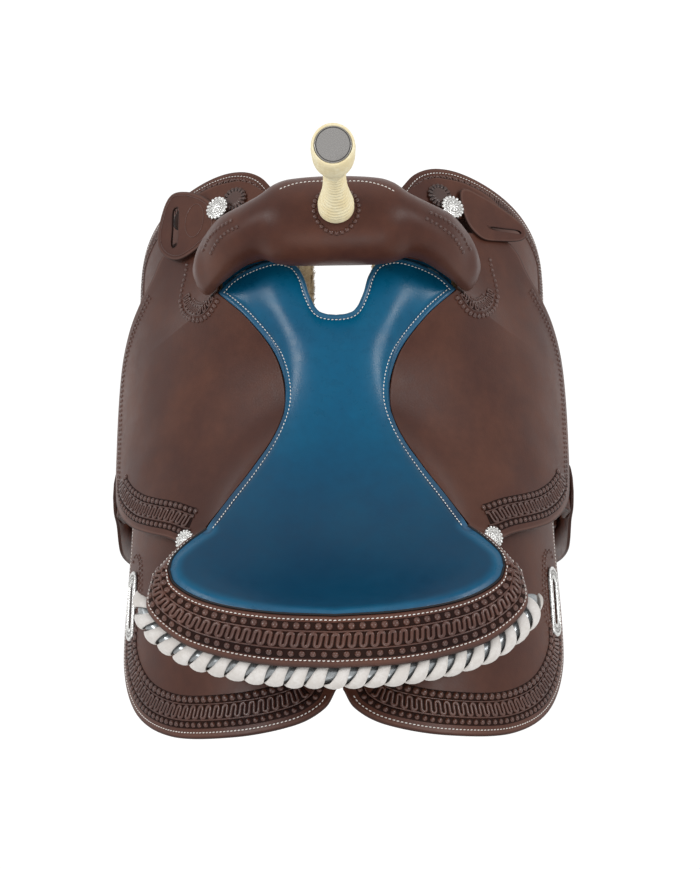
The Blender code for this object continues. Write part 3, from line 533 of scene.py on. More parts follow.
def stitches(name, skin, line, finish, body="saddle", pitch=4.3, length=3.3, radius=0.55, lean=0.12):
    """Thread along a line: separate stitches, each leaning a little across it."""
    points, along, across, outward = even_frames(skin, line, pitch)
    along = unit(along + across * lean)
    template, faces = stitch_shape(length, radius)
    axes = np.stack([along, np.cross(outward, along), outward], axis=1)
    return add_piece(name, *copies(template, faces, points, axes), finish, body)


def dome_shape(radius, rise):
    """A low dome with a sunken rim: five rings and a top."""
    turn = np.linspace(0, 2 * math.pi, 12, endpoint=False)
    profile = [(1.08, -0.3), (1.0, 0.15), (0.84, 0.6), (0.52, 0.9), (0.18, 1.0)]
    rings = [[(radius * r * math.cos(t), radius * r * math.sin(t), rise * h) for t in turn]
             for r, h in profile]
    return tube_mesh(rings)


def bead_part(skin, line, pitch, radius, rise):
    """A row of low domes along a line on a skin."""
    points, along, across, outward = even_frames(skin, line, pitch)
    template, faces = dome_shape(radius, rise)
    return copies(template, faces, points, np.stack([along, across, outward], axis=1))


def cord_part(points, outward, half_width, rise, around=8):
    """A raised line of leather: a flattened round profile carried along points on the skin."""
    along = unit(np.gradient(points, axis=0))
    across = unit(np.cross(outward, along))
    turn = np.linspace(0, 2 * math.pi, around, endpoint=False)
    rings = (points[:, None] + half_width * np.cos(turn)[None, :, None] * across[:, None]
             + rise * (np.sin(turn) * 0.75 + 0.15)[None, :, None] * outward[:, None])
    return tube_mesh(rings)


def line_part(skin, line, half_width=0.8, rise=1.1, step=2.0):
    """A raised line that follows a line on a skin."""
    points, _, _, outward = even_frames(skin, line, step)
    return cord_part(points, outward, half_width, rise)


def meander(length, pitch, reach, lean):
    """The winding line, as (run, offset): straight bars joined by half rounds at alternating ends."""
    half = max(4, int(round(length / pitch * 2)))
    quarter = length / half / 2
    straight = reach - quarter
    bar = np.column_stack([np.zeros(4), np.linspace(-straight, straight, 4)])
    turn = np.linspace(math.pi, 0, 8)[1:-1]
    round_end = np.column_stack([quarter + quarter * np.cos(turn), straight + quarter * np.sin(turn)])
    piece = np.vstack([bar, round_end])
    steps = np.arange(half)[:, None]
    run = piece[None, :, 0] + steps * 2 * quarter
    offset = piece[None, :, 1] * np.where(steps % 2, -1, 1)
    return (run + lean * offset).ravel(), offset.ravel()


def serpentine_part(skin, line, reach, pitch=10.4, lean=0.18, half_width=1.8, rise=1.9):
    """A winding raised line that fills a band, bent along the band's middle line."""
    line = smooth_line(line, 600) if len(line) < 600 else line
    length = running_length(line)
    run, offset = meander(length[-1], pitch, reach, lean)
    run = np.clip(run, 0, length[-1])
    middle = np.stack([np.interp(run, length, column) for column in line.T], axis=-1)
    direction = unit(np.gradient(line, axis=0))
    direction = unit(np.stack([np.interp(run, length, column) for column in direction.T], axis=-1))
    places = middle + np.stack([direction[:, 1], -direction[:, 0]], axis=-1) * offset[:, None]
    points, outward = skin(places)
    return cord_part(points, unit(outward), half_width, rise)


def floor_part(skin, line, reach, rise=0.18):
    """The ground of a stamped band: a thin sheet just over the leather, its borders sunk into it. Its dark
    colour is partly the stamped ground's own stain and partly painted shade between the raised lines.
    """
    line = smooth_line(line, 260) if len(line) < 260 else line
    direction = unit(np.gradient(line, axis=0))
    across = np.stack([direction[:, 1], -direction[:, 0]], axis=-1)
    offsets = np.array([-1.0, -0.94, -0.5, 0.0, 0.5, 0.94, 1.0]) * reach
    lifts = np.array([-0.5, rise, rise, rise, rise, rise, -0.5])
    tops, bottoms = [], []
    for offset, lift in zip(offsets, lifts):
        points, outward = skin(line + across * offset)
        tops.append(points + outward * lift)
        bottoms.append(points - outward * 0.9)
    top, bottom = np.array(tops), np.array(bottoms)
    rows, columns = top.shape[:2]
    return np.concatenate([top.reshape(-1, 3), bottom.reshape(-1, 3)]), sheet_faces(rows, columns)


# ---------------------------------------------------------------- finishes

def group_node(tree, name, place, **values):
    """One use of a node group, with its values set."""
    node = tree.nodes.new("ShaderNodeGroup")
    node.node_tree = bpy.data.node_groups[name]
    node.location = place
    for key, value in values.items():
        socket = node.inputs[key]
        socket.default_value = (*value, 1.0) if socket.type == "RGBA" else value
    return node


def new_group(name, inputs, outputs):
    """A node group with (name, kind, default) inputs and (name, kind) outputs."""
    tree = bpy.data.node_groups.new(name, "ShaderNodeTree")
    for label, kind, default in inputs:
        socket = tree.interface.new_socket(label, in_out="INPUT", socket_type="NodeSocket" + kind)
        socket.default_value = default
    for label, kind in outputs:
        tree.interface.new_socket(label, in_out="OUTPUT", socket_type="NodeSocket" + kind)
    entry = tree.nodes.new("NodeGroupInput")
    entry.location = (-900, 0)
    leave = tree.nodes.new("NodeGroupOutput")
    leave.location = (900, 0)
    return tree, entry, leave


def made(tree, kind, place, **settings):
    """A node with its settings; names that are inputs are set as inputs."""
    node = tree.nodes.new("ShaderNode" + kind)
    node.location = place
    for key, value in settings.items():
        if hasattr(node, key):
            setattr(node, key, value)
        else:
            node.inputs[key.replace("_", " ")].default_value = value
    return node


def sums(tree, operation, first, second, place, clamp=False):
    """A Math node on two sockets or numbers."""
    node = made(tree, "Math", place, operation=operation, use_clamp=clamp)
    for socket, value in zip(node.inputs, (first, second)):
        if isinstance(value, (int, float)):
            socket.default_value = value
        else:
            tree.links.new(value, socket)
    return node.outputs[0]


def blended(tree, factor, first, second, place, kind="MIX"):
    """A colour mix of two sockets or colours."""
    node = tree.nodes.new("ShaderNodeMix")
    node.data_type = "RGBA"
    node.blend_type = kind
    node.location = place
    for index, value in ((0, factor), (6, first), (7, second)):
        if isinstance(value, (int, float)):
            node.inputs[index].default_value = value
        elif isinstance(value, tuple):
            node.inputs[index].default_value = (*value, 1.0)
        else:
            tree.links.new(value, node.inputs[index])
    return node.outputs[2]


def ramp(tree, factor, low, high, place):
    """A smooth step of a socket between two numbers."""
    node = made(tree, "MapRange", place, interpolation_type="SMOOTHSTEP")
    node.inputs["From Min"].default_value = low
    node.inputs["From Max"].default_value = high
    tree.links.new(factor, node.inputs["Value"])
    return node.outputs["Result"]


def make_hide_group():
    """Leather: cloudy dye with a fine grain, darker in stained edges and cuts and in painted shade, paler on
    worn bands and in painted sheen.
    """
    tree, entry, leave = new_group(
        "hide", [("Dye", "Color", (0.1, 0.04, 0.03, 1)), ("Warm", "Color", (0.14, 0.05, 0.02, 1)),
                 ("Deep", "Color", (0.02, 0.01, 0.008, 1)), ("Grain", "Float", 900.0),
                 ("Gloss", "Float", 0.42)],
        [("Colour", "Color"), ("Roughness", "Float"), ("Height", "Float")])
    link = tree.links.new
    where = made(tree, "TexCoord", (-900, 300)).outputs["Object"]
    cloud = made(tree, "TexNoise", (-700, 300), Scale=9.0, Detail=4.0, Roughness=0.6)
    mottle = made(tree, "TexNoise", (-700, 100), Scale=85.0, Detail=3.0, Roughness=0.65)
    pores = made(tree, "TexVoronoi", (-700, -100), feature="SMOOTH_F1", Smoothness=0.6)
    fibre = made(tree, "TexNoise", (-700, -300), Scale=420.0, Detail=3.0, Roughness=0.6)
    for texture in (cloud, mottle, pores, fibre):
        link(where, texture.inputs["Vector"])
    link(entry.outputs["Grain"], pores.inputs["Scale"])
    colour = blended(tree, ramp(tree, cloud.outputs["Fac"], 0.35, 0.7, (-500, 300)), entry.outputs["Dye"],
                     entry.outputs["Warm"], (-300, 300))
    shade = sums(tree, "MULTIPLY_ADD", mottle.outputs["Fac"], 0.34, (-500, 100))
    shade.node.inputs[2].default_value = 0.83
    colour = blended(tree, 1.0, colour, shade, (-100, 300), "MULTIPLY")
    # Two marks from the meshes: the first darkens stained edges, cuts and painted shade, the second pales
    # worn bands and painted sheen.
    cut = made(tree, "Attribute", (-700, -500), attribute_name="cut").outputs["Fac"]
    rub = made(tree, "Attribute", (-700, -650), attribute_name="rub").outputs["Fac"]
    dark = sums(tree, "MULTIPLY", cut, 0.85, (-100, -400))
    colour = blended(tree, dark, colour, entry.outputs["Deep"], (100, 300))
    pale = blended(tree, 1.0, colour, (0.09, 0.06, 0.05), (100, 100), "ADD")
    sheen_and_wear = sums(tree, "MULTIPLY", rub, 0.8, (-100, -550))
    colour = blended(tree, sheen_and_wear, colour, pale, (300, 300))
    link(colour, leave.inputs["Colour"])
    rough = sums(tree, "MULTIPLY_ADD", mottle.outputs["Fac"], 0.22, (100, -50))
    link(entry.outputs["Gloss"], rough.node.inputs[2])
    rough = sums(tree, "ADD", rough, sums(tree, "MULTIPLY", cut, 0.15, (100, -200)), (300, -50))
    link(rough, leave.inputs["Roughness"])
    height = sums(tree, "MULTIPLY_ADD", pores.outputs["Distance"], 0.7, (100, -350))
    link(fibre.outputs["Fac"], height.node.inputs[2])
    link(height, leave.inputs["Height"])


def make_metal_group():
    """Worn metal: cloudy brightness, fine scratches and dark in its cuts."""
    tree, entry, leave = new_group(
        "worn_metal", [("Bright", "Color", (0.8, 0.8, 0.78, 1)), ("Dull", "Color", (0.3, 0.29, 0.27, 1)),
                       ("Engraving", "Float", 0.0), ("Size", "Float", 260.0)],
        [("Colour", "Color"), ("Roughness", "Float"), ("Height", "Float")])
    link = tree.links.new
    where = made(tree, "TexCoord", (-900, 300)).outputs["Object"]
    cloud = made(tree, "TexNoise", (-700, 300), Scale=60.0, Detail=4.0, Roughness=0.6)
    wave = made(tree, "TexWave", (-700, 100), wave_type="RINGS", Distortion=14.0, Detail=2.0)
    hair = made(tree, "TexNoise", (-700, -300), Scale=900.0, Detail=2.0, Roughness=0.5)
    for texture in (cloud, wave, hair):
        link(where, texture.inputs["Vector"])
    link(entry.outputs["Size"], wave.inputs["Scale"])
    carved = sums(tree, "MULTIPLY", ramp(tree, wave.outputs["Fac"], 0.55, 0.85, (-500, 100)),
                  entry.outputs["Engraving"], (-300, 100))
    cut = made(tree, "Attribute", (-700, -500), attribute_name="cut").outputs["Fac"]
    grime = sums(tree, "MULTIPLY", ramp(tree, cloud.outputs["Fac"], 0.5, 0.8, (-500, 300)), 0.25, (-300, 300))
    dirt = sums(tree, "ADD", grime, sums(tree, "ADD", carved, cut, (-300, -200)), (-100, 200), True)
    link(blended(tree, dirt, entry.outputs["Bright"], entry.outputs["Dull"], (100, 300)),
         leave.inputs["Colour"])
    rough = sums(tree, "MULTIPLY_ADD", hair.outputs["Fac"], 0.25, (100, 0))
    rough.node.inputs[2].default_value = 0.14
    link(sums(tree, "ADD", rough, sums(tree, "MULTIPLY", dirt, 0.25, (100, -150)), (300, 0)),
         leave.inputs["Roughness"])
    lines = sums(tree, "MULTIPLY", hair.outputs["Fac"], 0.12, (100, -300))
    link(sums(tree, "SUBTRACT", lines, carved, (300, -300)), leave.inputs["Height"])


def make_wool_group():
    """Wool and other fibres: clumped colour and a curly height."""
    tree, entry, leave = new_group(
        "fibres", [("Pale", "Color", (0.8, 0.7, 0.5, 1)), ("Tan", "Color", (0.5, 0.36, 0.2, 1)),
                   ("Curl", "Float", 240.0), ("Stretch", "Vector", (1.0, 1.0, 1.0))],
        [("Colour", "Color"), ("Roughness", "Float"), ("Height", "Float")])
    link = tree.links.new
    where = made(tree, "TexCoord", (-1100, 300)).outputs["Object"]
    scaled = made(tree, "VectorMath", (-900, 300), operation="MULTIPLY")
    link(where, scaled.inputs[0])
    link(entry.outputs["Stretch"], scaled.inputs[1])
    curl = made(tree, "TexNoise", (-700, 300), Detail=4.0, Roughness=0.7, Distortion=1.5)
    clump = made(tree, "TexNoise", (-700, 0), Scale=45.0, Detail=3.0, Roughness=0.6)
    link(scaled.outputs[0], curl.inputs["Vector"])
    link(entry.outputs["Curl"], curl.inputs["Scale"])
    link(where, clump.inputs["Vector"])
    both = sums(tree, "MULTIPLY", curl.outputs["Fac"], clump.outputs["Fac"], (-500, 200))
    link(blended(tree, ramp(tree, both, 0.12, 0.4, (-300, 200)), entry.outputs["Tan"], entry.outputs["Pale"],
                 (0, 200)), leave.inputs["Colour"])
    rough = sums(tree, "MULTIPLY_ADD", curl.outputs["Fac"], 0.3, (0, 0))
    rough.node.inputs[2].default_value = 0.6
    link(rough, leave.inputs["Roughness"])
    link(curl.outputs["Fac"], leave.inputs["Height"])


def finish_from(name, group, bump, values, settings):
    """A material whose colour, roughness and height come from a group; the rest is set on its shader."""
    material = bpy.data.materials.new(name)
    material.use_nodes = True
    tree = material.node_tree
    shader = tree.nodes["Principled BSDF"]
    source = group_node(tree, group, (-500, 200), **values)
    relief = made(tree, "Bump", (-250, -100))
    relief.inputs["Strength"].default_value = 0.6
    relief.inputs["Distance"].default_value = bump * MM
    tree.links.new(source.outputs["Colour"], shader.inputs["Base Color"])
    tree.links.new(source.outputs["Roughness"], shader.inputs["Roughness"])
    tree.links.new(source.outputs["Height"], relief.inputs["Height"])
    tree.links.new(relief.outputs["Normal"], shader.inputs["Normal"])
    for key, value in settings.items():
        shader.inputs[key.replace("_", " ")].default_value = value
    return material


HIDE = {"Specular_IOR_Level": 0.2}
BROWN = {"Dye": (0.062, 0.021, 0.014), "Warm": (0.096, 0.034, 0.02), "Deep": (0.01, 0.004, 0.003)}

# Each finish: the part's slot that it fills, its material's name, its group and the depth of its relief in
# millimetres, then the group's values and the shader's settings.
FINISHES = {
    "brown": ("brown_leather", "brown_saddle_leather", "hide", 0.16, {**BROWN, "Gloss": 0.28}, HIDE),
    "tooled": ("brown_leather", "tooled_leather", "hide", 0.12,
               {**BROWN, "Gloss": 0.2}, {"Specular_IOR_Level": 0.5}),
    # Stamped ground: stained far darker than the leather, partly its own stain and partly painted shade
    # between the raised tooling.
    "ground": ("brown_leather", "stamped_ground", "hide", 0.3,
               {"Dye": (0.014, 0.005, 0.004), "Warm": (0.02, 0.008, 0.005), "Deep": (0.006, 0.003, 0.002),
                "Gloss": 0.55}, {"Specular_IOR_Level": 0.1}),
    "rosette": ("dark_leather", "rosette_leather", "hide", 0.2,
                {"Dye": (0.034, 0.014, 0.01), "Warm": (0.06, 0.024, 0.016), "Deep": (0.006, 0.003, 0.003),
                 "Gloss": 0.24}, {"Specular_IOR_Level": 0.5}),
    "dark": ("dark_leather", "dark_leather_finish", "hide", 0.2,
             {"Dye": (0.024, 0.015, 0.012), "Warm": (0.034, 0.018, 0.012), "Deep": (0.008, 0.005, 0.005),
              "Gloss": 0.42}, HIDE),
    "black": ("dark_leather", "seam_black", "hide", 0.1,
              {"Dye": (0.006, 0.006, 0.008), "Warm": (0.008, 0.008, 0.01), "Gloss": 0.5},
              {"Specular_IOR_Level": 0.3}),
    # Deep is the colour that the painted shade over the seat's rear pocket goes towards.
    "blue": ("blue_leather", "blue_seat_leather", "hide", 0.1,
             {"Dye": (0.0, 0.08, 0.17), "Warm": (0.0, 0.1, 0.2), "Deep": (0.0, 0.012, 0.036),
              "Grain": 1100.0, "Gloss": 0.18}, {"Specular_IOR_Level": 0.22}),
    "thread": ("white_lace", "waxed_thread", "fibres", 0.1,
               {"Pale": (0.92, 0.9, 0.87), "Tan": (0.82, 0.78, 0.72), "Curl": 900.0}, {}),
    "lace": ("white_lace", "rawhide_lace", "fibres", 0.12,
             {"Pale": (0.78, 0.75, 0.72), "Tan": (0.66, 0.62, 0.58), "Curl": 160.0},
             {"Coat_Weight": 0.1, "Coat_Roughness": 0.25}),
    "rawhide": ("rawhide", "horn_rawhide", "fibres", 0.2,
                {"Pale": (0.98, 0.9, 0.64), "Tan": (0.86, 0.72, 0.42), "Curl": 180.0,
                 "Stretch": (1.0, 1.0, 5.0)}, {"Coat_Weight": 0.1, "Coat_Roughness": 0.3}),
    "fleece": ("fleece", "wool_fleece", "fibres", 1.4,
               {"Pale": (0.88, 0.74, 0.5), "Tan": (0.56, 0.4, 0.2), "Curl": 300.0},
               {"Sheen_Weight": 0.4, "Sheen_Roughness": 0.6, "Specular_IOR_Level": 0.2}),
    "foam": ("seat_foam", "seat_foam_finish", "fibres", 0.5,
             {"Pale": (0.75, 0.72, 0.6), "Tan": (0.6, 0.56, 0.42), "Curl": 700.0}, {}),
    "wood": (None, "tree_wood_finish", "fibres", 0.2,
             {"Pale": (0.62, 0.45, 0.26), "Tan": (0.42, 0.27, 0.13), "Curl": 60.0,
              "Stretch": (8.0, 1.0, 8.0)}, {}),
    "silver": ("engraved_silver", "engraved_silver_finish", "worn_metal", 0.25,
               {"Bright": (0.86, 0.86, 0.84), "Dull": (0.22, 0.21, 0.2), "Engraving": 0.75, "Size": 330.0},
               {"Metallic": 1.0}),
    "steel": (None, "steel_finish", "worn_metal", 0.1,
              {"Bright": (0.62, 0.62, 0.61), "Dull": (0.36, 0.35, 0.33)}, {"Metallic": 1.0}),
    "disc": ("stainless_steel", "horn_disc_finish", "worn_metal", 0.1,
             {"Bright": (0.3, 0.29, 0.28), "Dull": (0.04, 0.038, 0.036)}, {"Metallic": 0.6}),
    "core": ("dark_leather", "lace_core_finish", "worn_metal", 0.1,
             {"Bright": (0.34, 0.36, 0.37), "Dull": (0.1, 0.1, 0.1)}, {"Metallic": 0.5}),
    "rubber": (None, "tread_rubber_finish", "hide", 0.3,
               {"Dye": (0.02, 0.02, 0.02), "Warm": (0.024, 0.023, 0.022), "Gloss": 0.6}, {}),
}


def make_finishes():
    """Every finish of the table under its short name."""
    make_hide_group()
    make_metal_group()
    make_wool_group()
    return {short: finish_from(*told) for short, (_, *told) in FINISHES.items()}


# ---------------------------------------------------------------- leather on the horse's back

EDGE_STEPS = np.array([0.0, 0.25, 0.7, 1.3, 2.2, 4.0])
FLEECE_EDGE_STEPS = np.array([0, 0.6, 1.5, 3.0, 5.0, 8.0])


def panel_places(inner, outer, rows, edge=EDGE_STEPS):
    """Places on straight lines from the outer edge to the inner one, with distances from both edges."""
    length = np.maximum(np.linalg.norm((inner - outer)[:, :2], axis=1), 1e-3)
    close = np.minimum(edge[:, None], 0.3 * length)
    middle = close[-1] + (length - 2 * close[-1]) * np.linspace(0, 1, rows + 1)[1:, None]
    distance = np.vstack([close, middle, length - close[-2::-1]])
    share = (distance / length)[..., None]
    places = outer[None] * (1 - share) + inner[None] * share
    return places, share[..., 0], distance, length - distance


def back_panel(name, inner, outer, thick, finish, side, rows=24, ease=1.0, upright=False, body="saddle",
               wave=0.0, **told):
    """A leather panel between two edges of its upper face. Heights fall from the inner edge to the outer one,
    faster near the inner edge where ease is over 1, and both edges are round."""
    places, share, from_outer, from_inner = panel_places(inner, outer, rows)
    places[..., 2] = outer[:, 2] + (inner[:, 2] - outer[:, 2]) * share ** ease
    fall = edge_drop(from_outer, 0.42 * thick) + edge_drop(from_inner, 0.3 * thick)
    fall = np.minimum(fall, 0.46 * thick)
    upper, lower = places.copy(), places.copy()
    upper[..., 2] += -fall + wave * lattice_noise(places * (1, 1, 0), 38.0, 5) * fade(from_outer, 0, 30)
    lower[..., 2] += fall - thick
    top, bottom = drape(upper), drape(lower)
    if upright:
        bottom[-1] = top[-1] - np.array([0, 0, thick * 0.6])
    flip = np.array([side, 1, 1])
    marks = {"cut": 0.9 * np.exp(-(from_outer / 2.0) ** 2),
             "rub": 0.6 * np.exp(-((from_outer - 4.2) / 1.4) ** 2)}
    item = sheet(name, top * flip, bottom * flip, finish, body, marks=marks, **told)
    return item, top


def level_edges(inner, outer, height, columns):
    """Two (drop, y) edges at one height, as the same number of even steps."""
    first = smooth_line([(drop, y, height) for drop, y in inner], columns)
    second = smooth_line([(drop, y, height) for drop, y in outer], columns)
    return first, second


def cut_out(item, rings):
    """Take a lofted plug out of a piece for good."""
    points, faces = tube_mesh(np.asarray(rings) * MM)
    mesh = bpy.data.meshes.new("plug")
    mesh.from_pydata(points.tolist(), [], [tuple(face) for group in faces for face in group.tolist()])
    plug = bpy.data.objects.new("plug", mesh)
    bpy.context.scene.collection.objects.link(plug)
    step = item.modifiers.new("slot", "BOOLEAN")
    step.object = plug
    step.operation = "DIFFERENCE"
    step.solver = "EXACT"
    bpy.context.view_layer.update()
    done = bpy.data.meshes.new_from_object(item.evaluated_get(bpy.context.evaluated_depsgraph_get()))
    item.modifiers.clear()
    item.data = done
    bpy.data.objects.remove(plug)


def oblong(length, width, count=10):
    """A long outline with round ends, as (across, along) points."""
    half = length / 2 - width / 2
    turn = np.linspace(0, math.pi, count)
    end = np.column_stack([width / 2 * np.cos(turn), half + width / 2 * np.sin(turn)])
    return np.vstack([end, -end])


def barrel_axes(drop, y, height, side):
    """A point on the barrel, with directions down the ribs, forward and outward."""
    angle = drop / BARREL
    middle = drape(np.array([drop, y, height])) * (side, 1, 1)
    down = np.array([side * math.cos(angle), 0, -math.sin(angle)])
    outward = np.array([side * math.sin(angle), 0, math.cos(angle)])
    return middle, down, np.array([0.0, 1.0, 0.0]), outward


def build_skirts(finish):
    """Both skirts with their slots, stitched edges and stamped borders."""
    for label, side in SIDES:
        inner, outer = level_edges(SKIRT_INNER, SKIRT_OUTER, SKIRT[1], 420)
        skirt, _ = back_panel("tooled_skirt_" + label, inner, outer, SKIRT[1] - SKIRT[0], finish["brown"],
                              side, rows=22, replaces=["skirt_" + label])
        for drop, y in (FLANK_PLATE, RIGGING_PLATE):
            middle, down, forward, outward = barrel_axes(drop, y, SKIRT[0] - 4, side)
            loop = oblong(52, 9)
            cut_out(skirt, [middle + outward * level + loop[:, :1] * down + loop[:, 1:] * forward
                            for level in (0, 14)])
        skin = level_skin(SKIRT[1], side)
        edge = smooth_line(SKIRT_OUTER, 1200)
        run = running_length(edge)
        stitches("skirt_stitching_" + label, skin, inset(edge, 6.3)[15:-12], finish["thread"])
        rear = edge[(edge[:, 1] < -178)][:-22]
        rear_full = edge[(edge[:, 1] < -178)]
        parts = [bead_part(skin, inset(rear_full, 14.2), 8.3, 2.9, 2.0),
                 line_part(skin, inset(rear_full, 19.0)), line_part(skin, inset(rear, 35.2)),
                 bead_part(skin, inset(rear, 40.2), 9.0, 3.7, 2.4),
                 serpentine_part(skin, inset(rear, 27.0), 6.2, 9.6)]
        plate = [(294, -180), (289, -183), (281, -184), (266, -182), (256, -172), (254, -150), (256, -120),
                 (260, -98), (268, -88), (276, -86), (280, -92)]
        parts += [bead_part(skin, plate[2:], 6.2, 1.9, 1.4),
                  bead_part(skin, [(drop - 6, y) for drop, y in plate[3:-2]], 6.2, 1.7, 1.3)]
        front = edge[(edge[:, 1] > 225) & (run > 25)]
        parts += [bead_part(skin, inset(front, 10.4), 4.6, 1.7, 1.4), line_part(skin, inset(front, 20.4)),
                  serpentine_part(skin, inset(front, 15.0), 4.2, 7.6, half_width=1.4, rise=1.5)]
        add_piece("skirt_tooling_" + label, *joined(parts), finish["tooled"])
        # Dark sheets under the stamped bands: the ground's own stain, darkened further as painted shade
        # between the raised lines.
        ground_shades = [floor_part(skin, inset(line, depth)[::3], reach) for line, depth, reach in
                   ((rear, 27.0, 8.0), (front, 15.0, 5.2), (rear_full, 14.2, 4.0), (rear, 40.2, 4.4))]
        add_piece("skirt_ground_" + label, *joined(ground_shades), finish["ground"])


def build_fleece(finish):
    """Wool linings: thick pads with a curly face, and tufts that stand out round their edges."""
    for label, side in SIDES:
        narrow = [(drop + (10 if side > 0 and 100 < y < 250 else 0), y) for drop, y in FLEECE_INNER]
        trimmed = [(drop * 0.996, y * (0.996 if y > 0 else 0.97)) for drop, y in SKIRT_OUTER]
        inner, outer = level_edges(narrow, trimmed, FLEECE[1], 420)
        places, _, from_outer, from_inner = panel_places(inner, outer, 60, FLEECE_EDGE_STEPS)
        curl = lattice_noise(places * (1, 1, 0), 3.2, 3) + 0.7 * lattice_noise(places * (1, 1, 0), 7.0, 4)
        fall = edge_drop(from_outer, 7.5) + edge_drop(from_inner, 6.0)
        upper, lower = places.copy(), places.copy()
        upper[..., 2] += -fall - 0.4 + 0.35 * curl
        lower[..., 2] = FLEECE[0] + fall + 1.0 + curl
        flip = np.array([side, 1, 1])
        pad = sheet("fleece_lining_" + label, drape(upper) * flip, drape(lower) * flip, finish["fleece"],
                    replaces=["fleece_" + label])
        line = np.vstack([outer[:, :2], inner[::-1, :2]])
        count = 5200
        pick = RNG.integers(0, len(line) - 1, count)
        share = RNG.random((count, 1))
        at = line[pick] * (1 - share) + line[pick + 1] * share
        centre = np.array([160.0, 20.0])
        level = RNG.uniform(2.5, 16.0, count)
        away = unit(at - centre)
        base = drape(np.column_stack([at - away * 3.0, level]))
        reach = RNG.uniform(1.8, 4.6, (count, 1))
        drift = RNG.normal(0, 1.1, (count, 3))
        tip = drape(np.column_stack([at - away * 3.0 + away * (reach + 0.2), level])) + drift
        bend = (base + tip) / 2 + RNG.normal(0, 0.7, (count, 3))
        wide = unit(np.cross(tip - base, RNG.normal(0, 1, (count, 3)))) * 0.55
        tall = unit(np.cross(tip - base, wide)) * 0.55
        ring = [wide, tall * 0.8 - wide * 0.5, -tall * 0.8 - wide * 0.5]
        points = np.stack([base + r for r in ring] + [bend + r * 0.7 for r in ring] + [tip], axis=1)
        quads = np.array([[0, 1, 4, 3], [1, 2, 5, 4], [2, 0, 3, 5]])
        triangles = np.array([[3, 4, 6], [4, 5, 6], [5, 3, 6], [2, 1, 0]])
        steps = (np.arange(count) * 7)[:, None, None]
        faces = [(quads[None] + steps).reshape(-1, 4), (triangles[None] + steps).reshape(-1, 3)]
        add_piece("fleece_tufts_" + label, points * flip, faces, finish["fleece"])


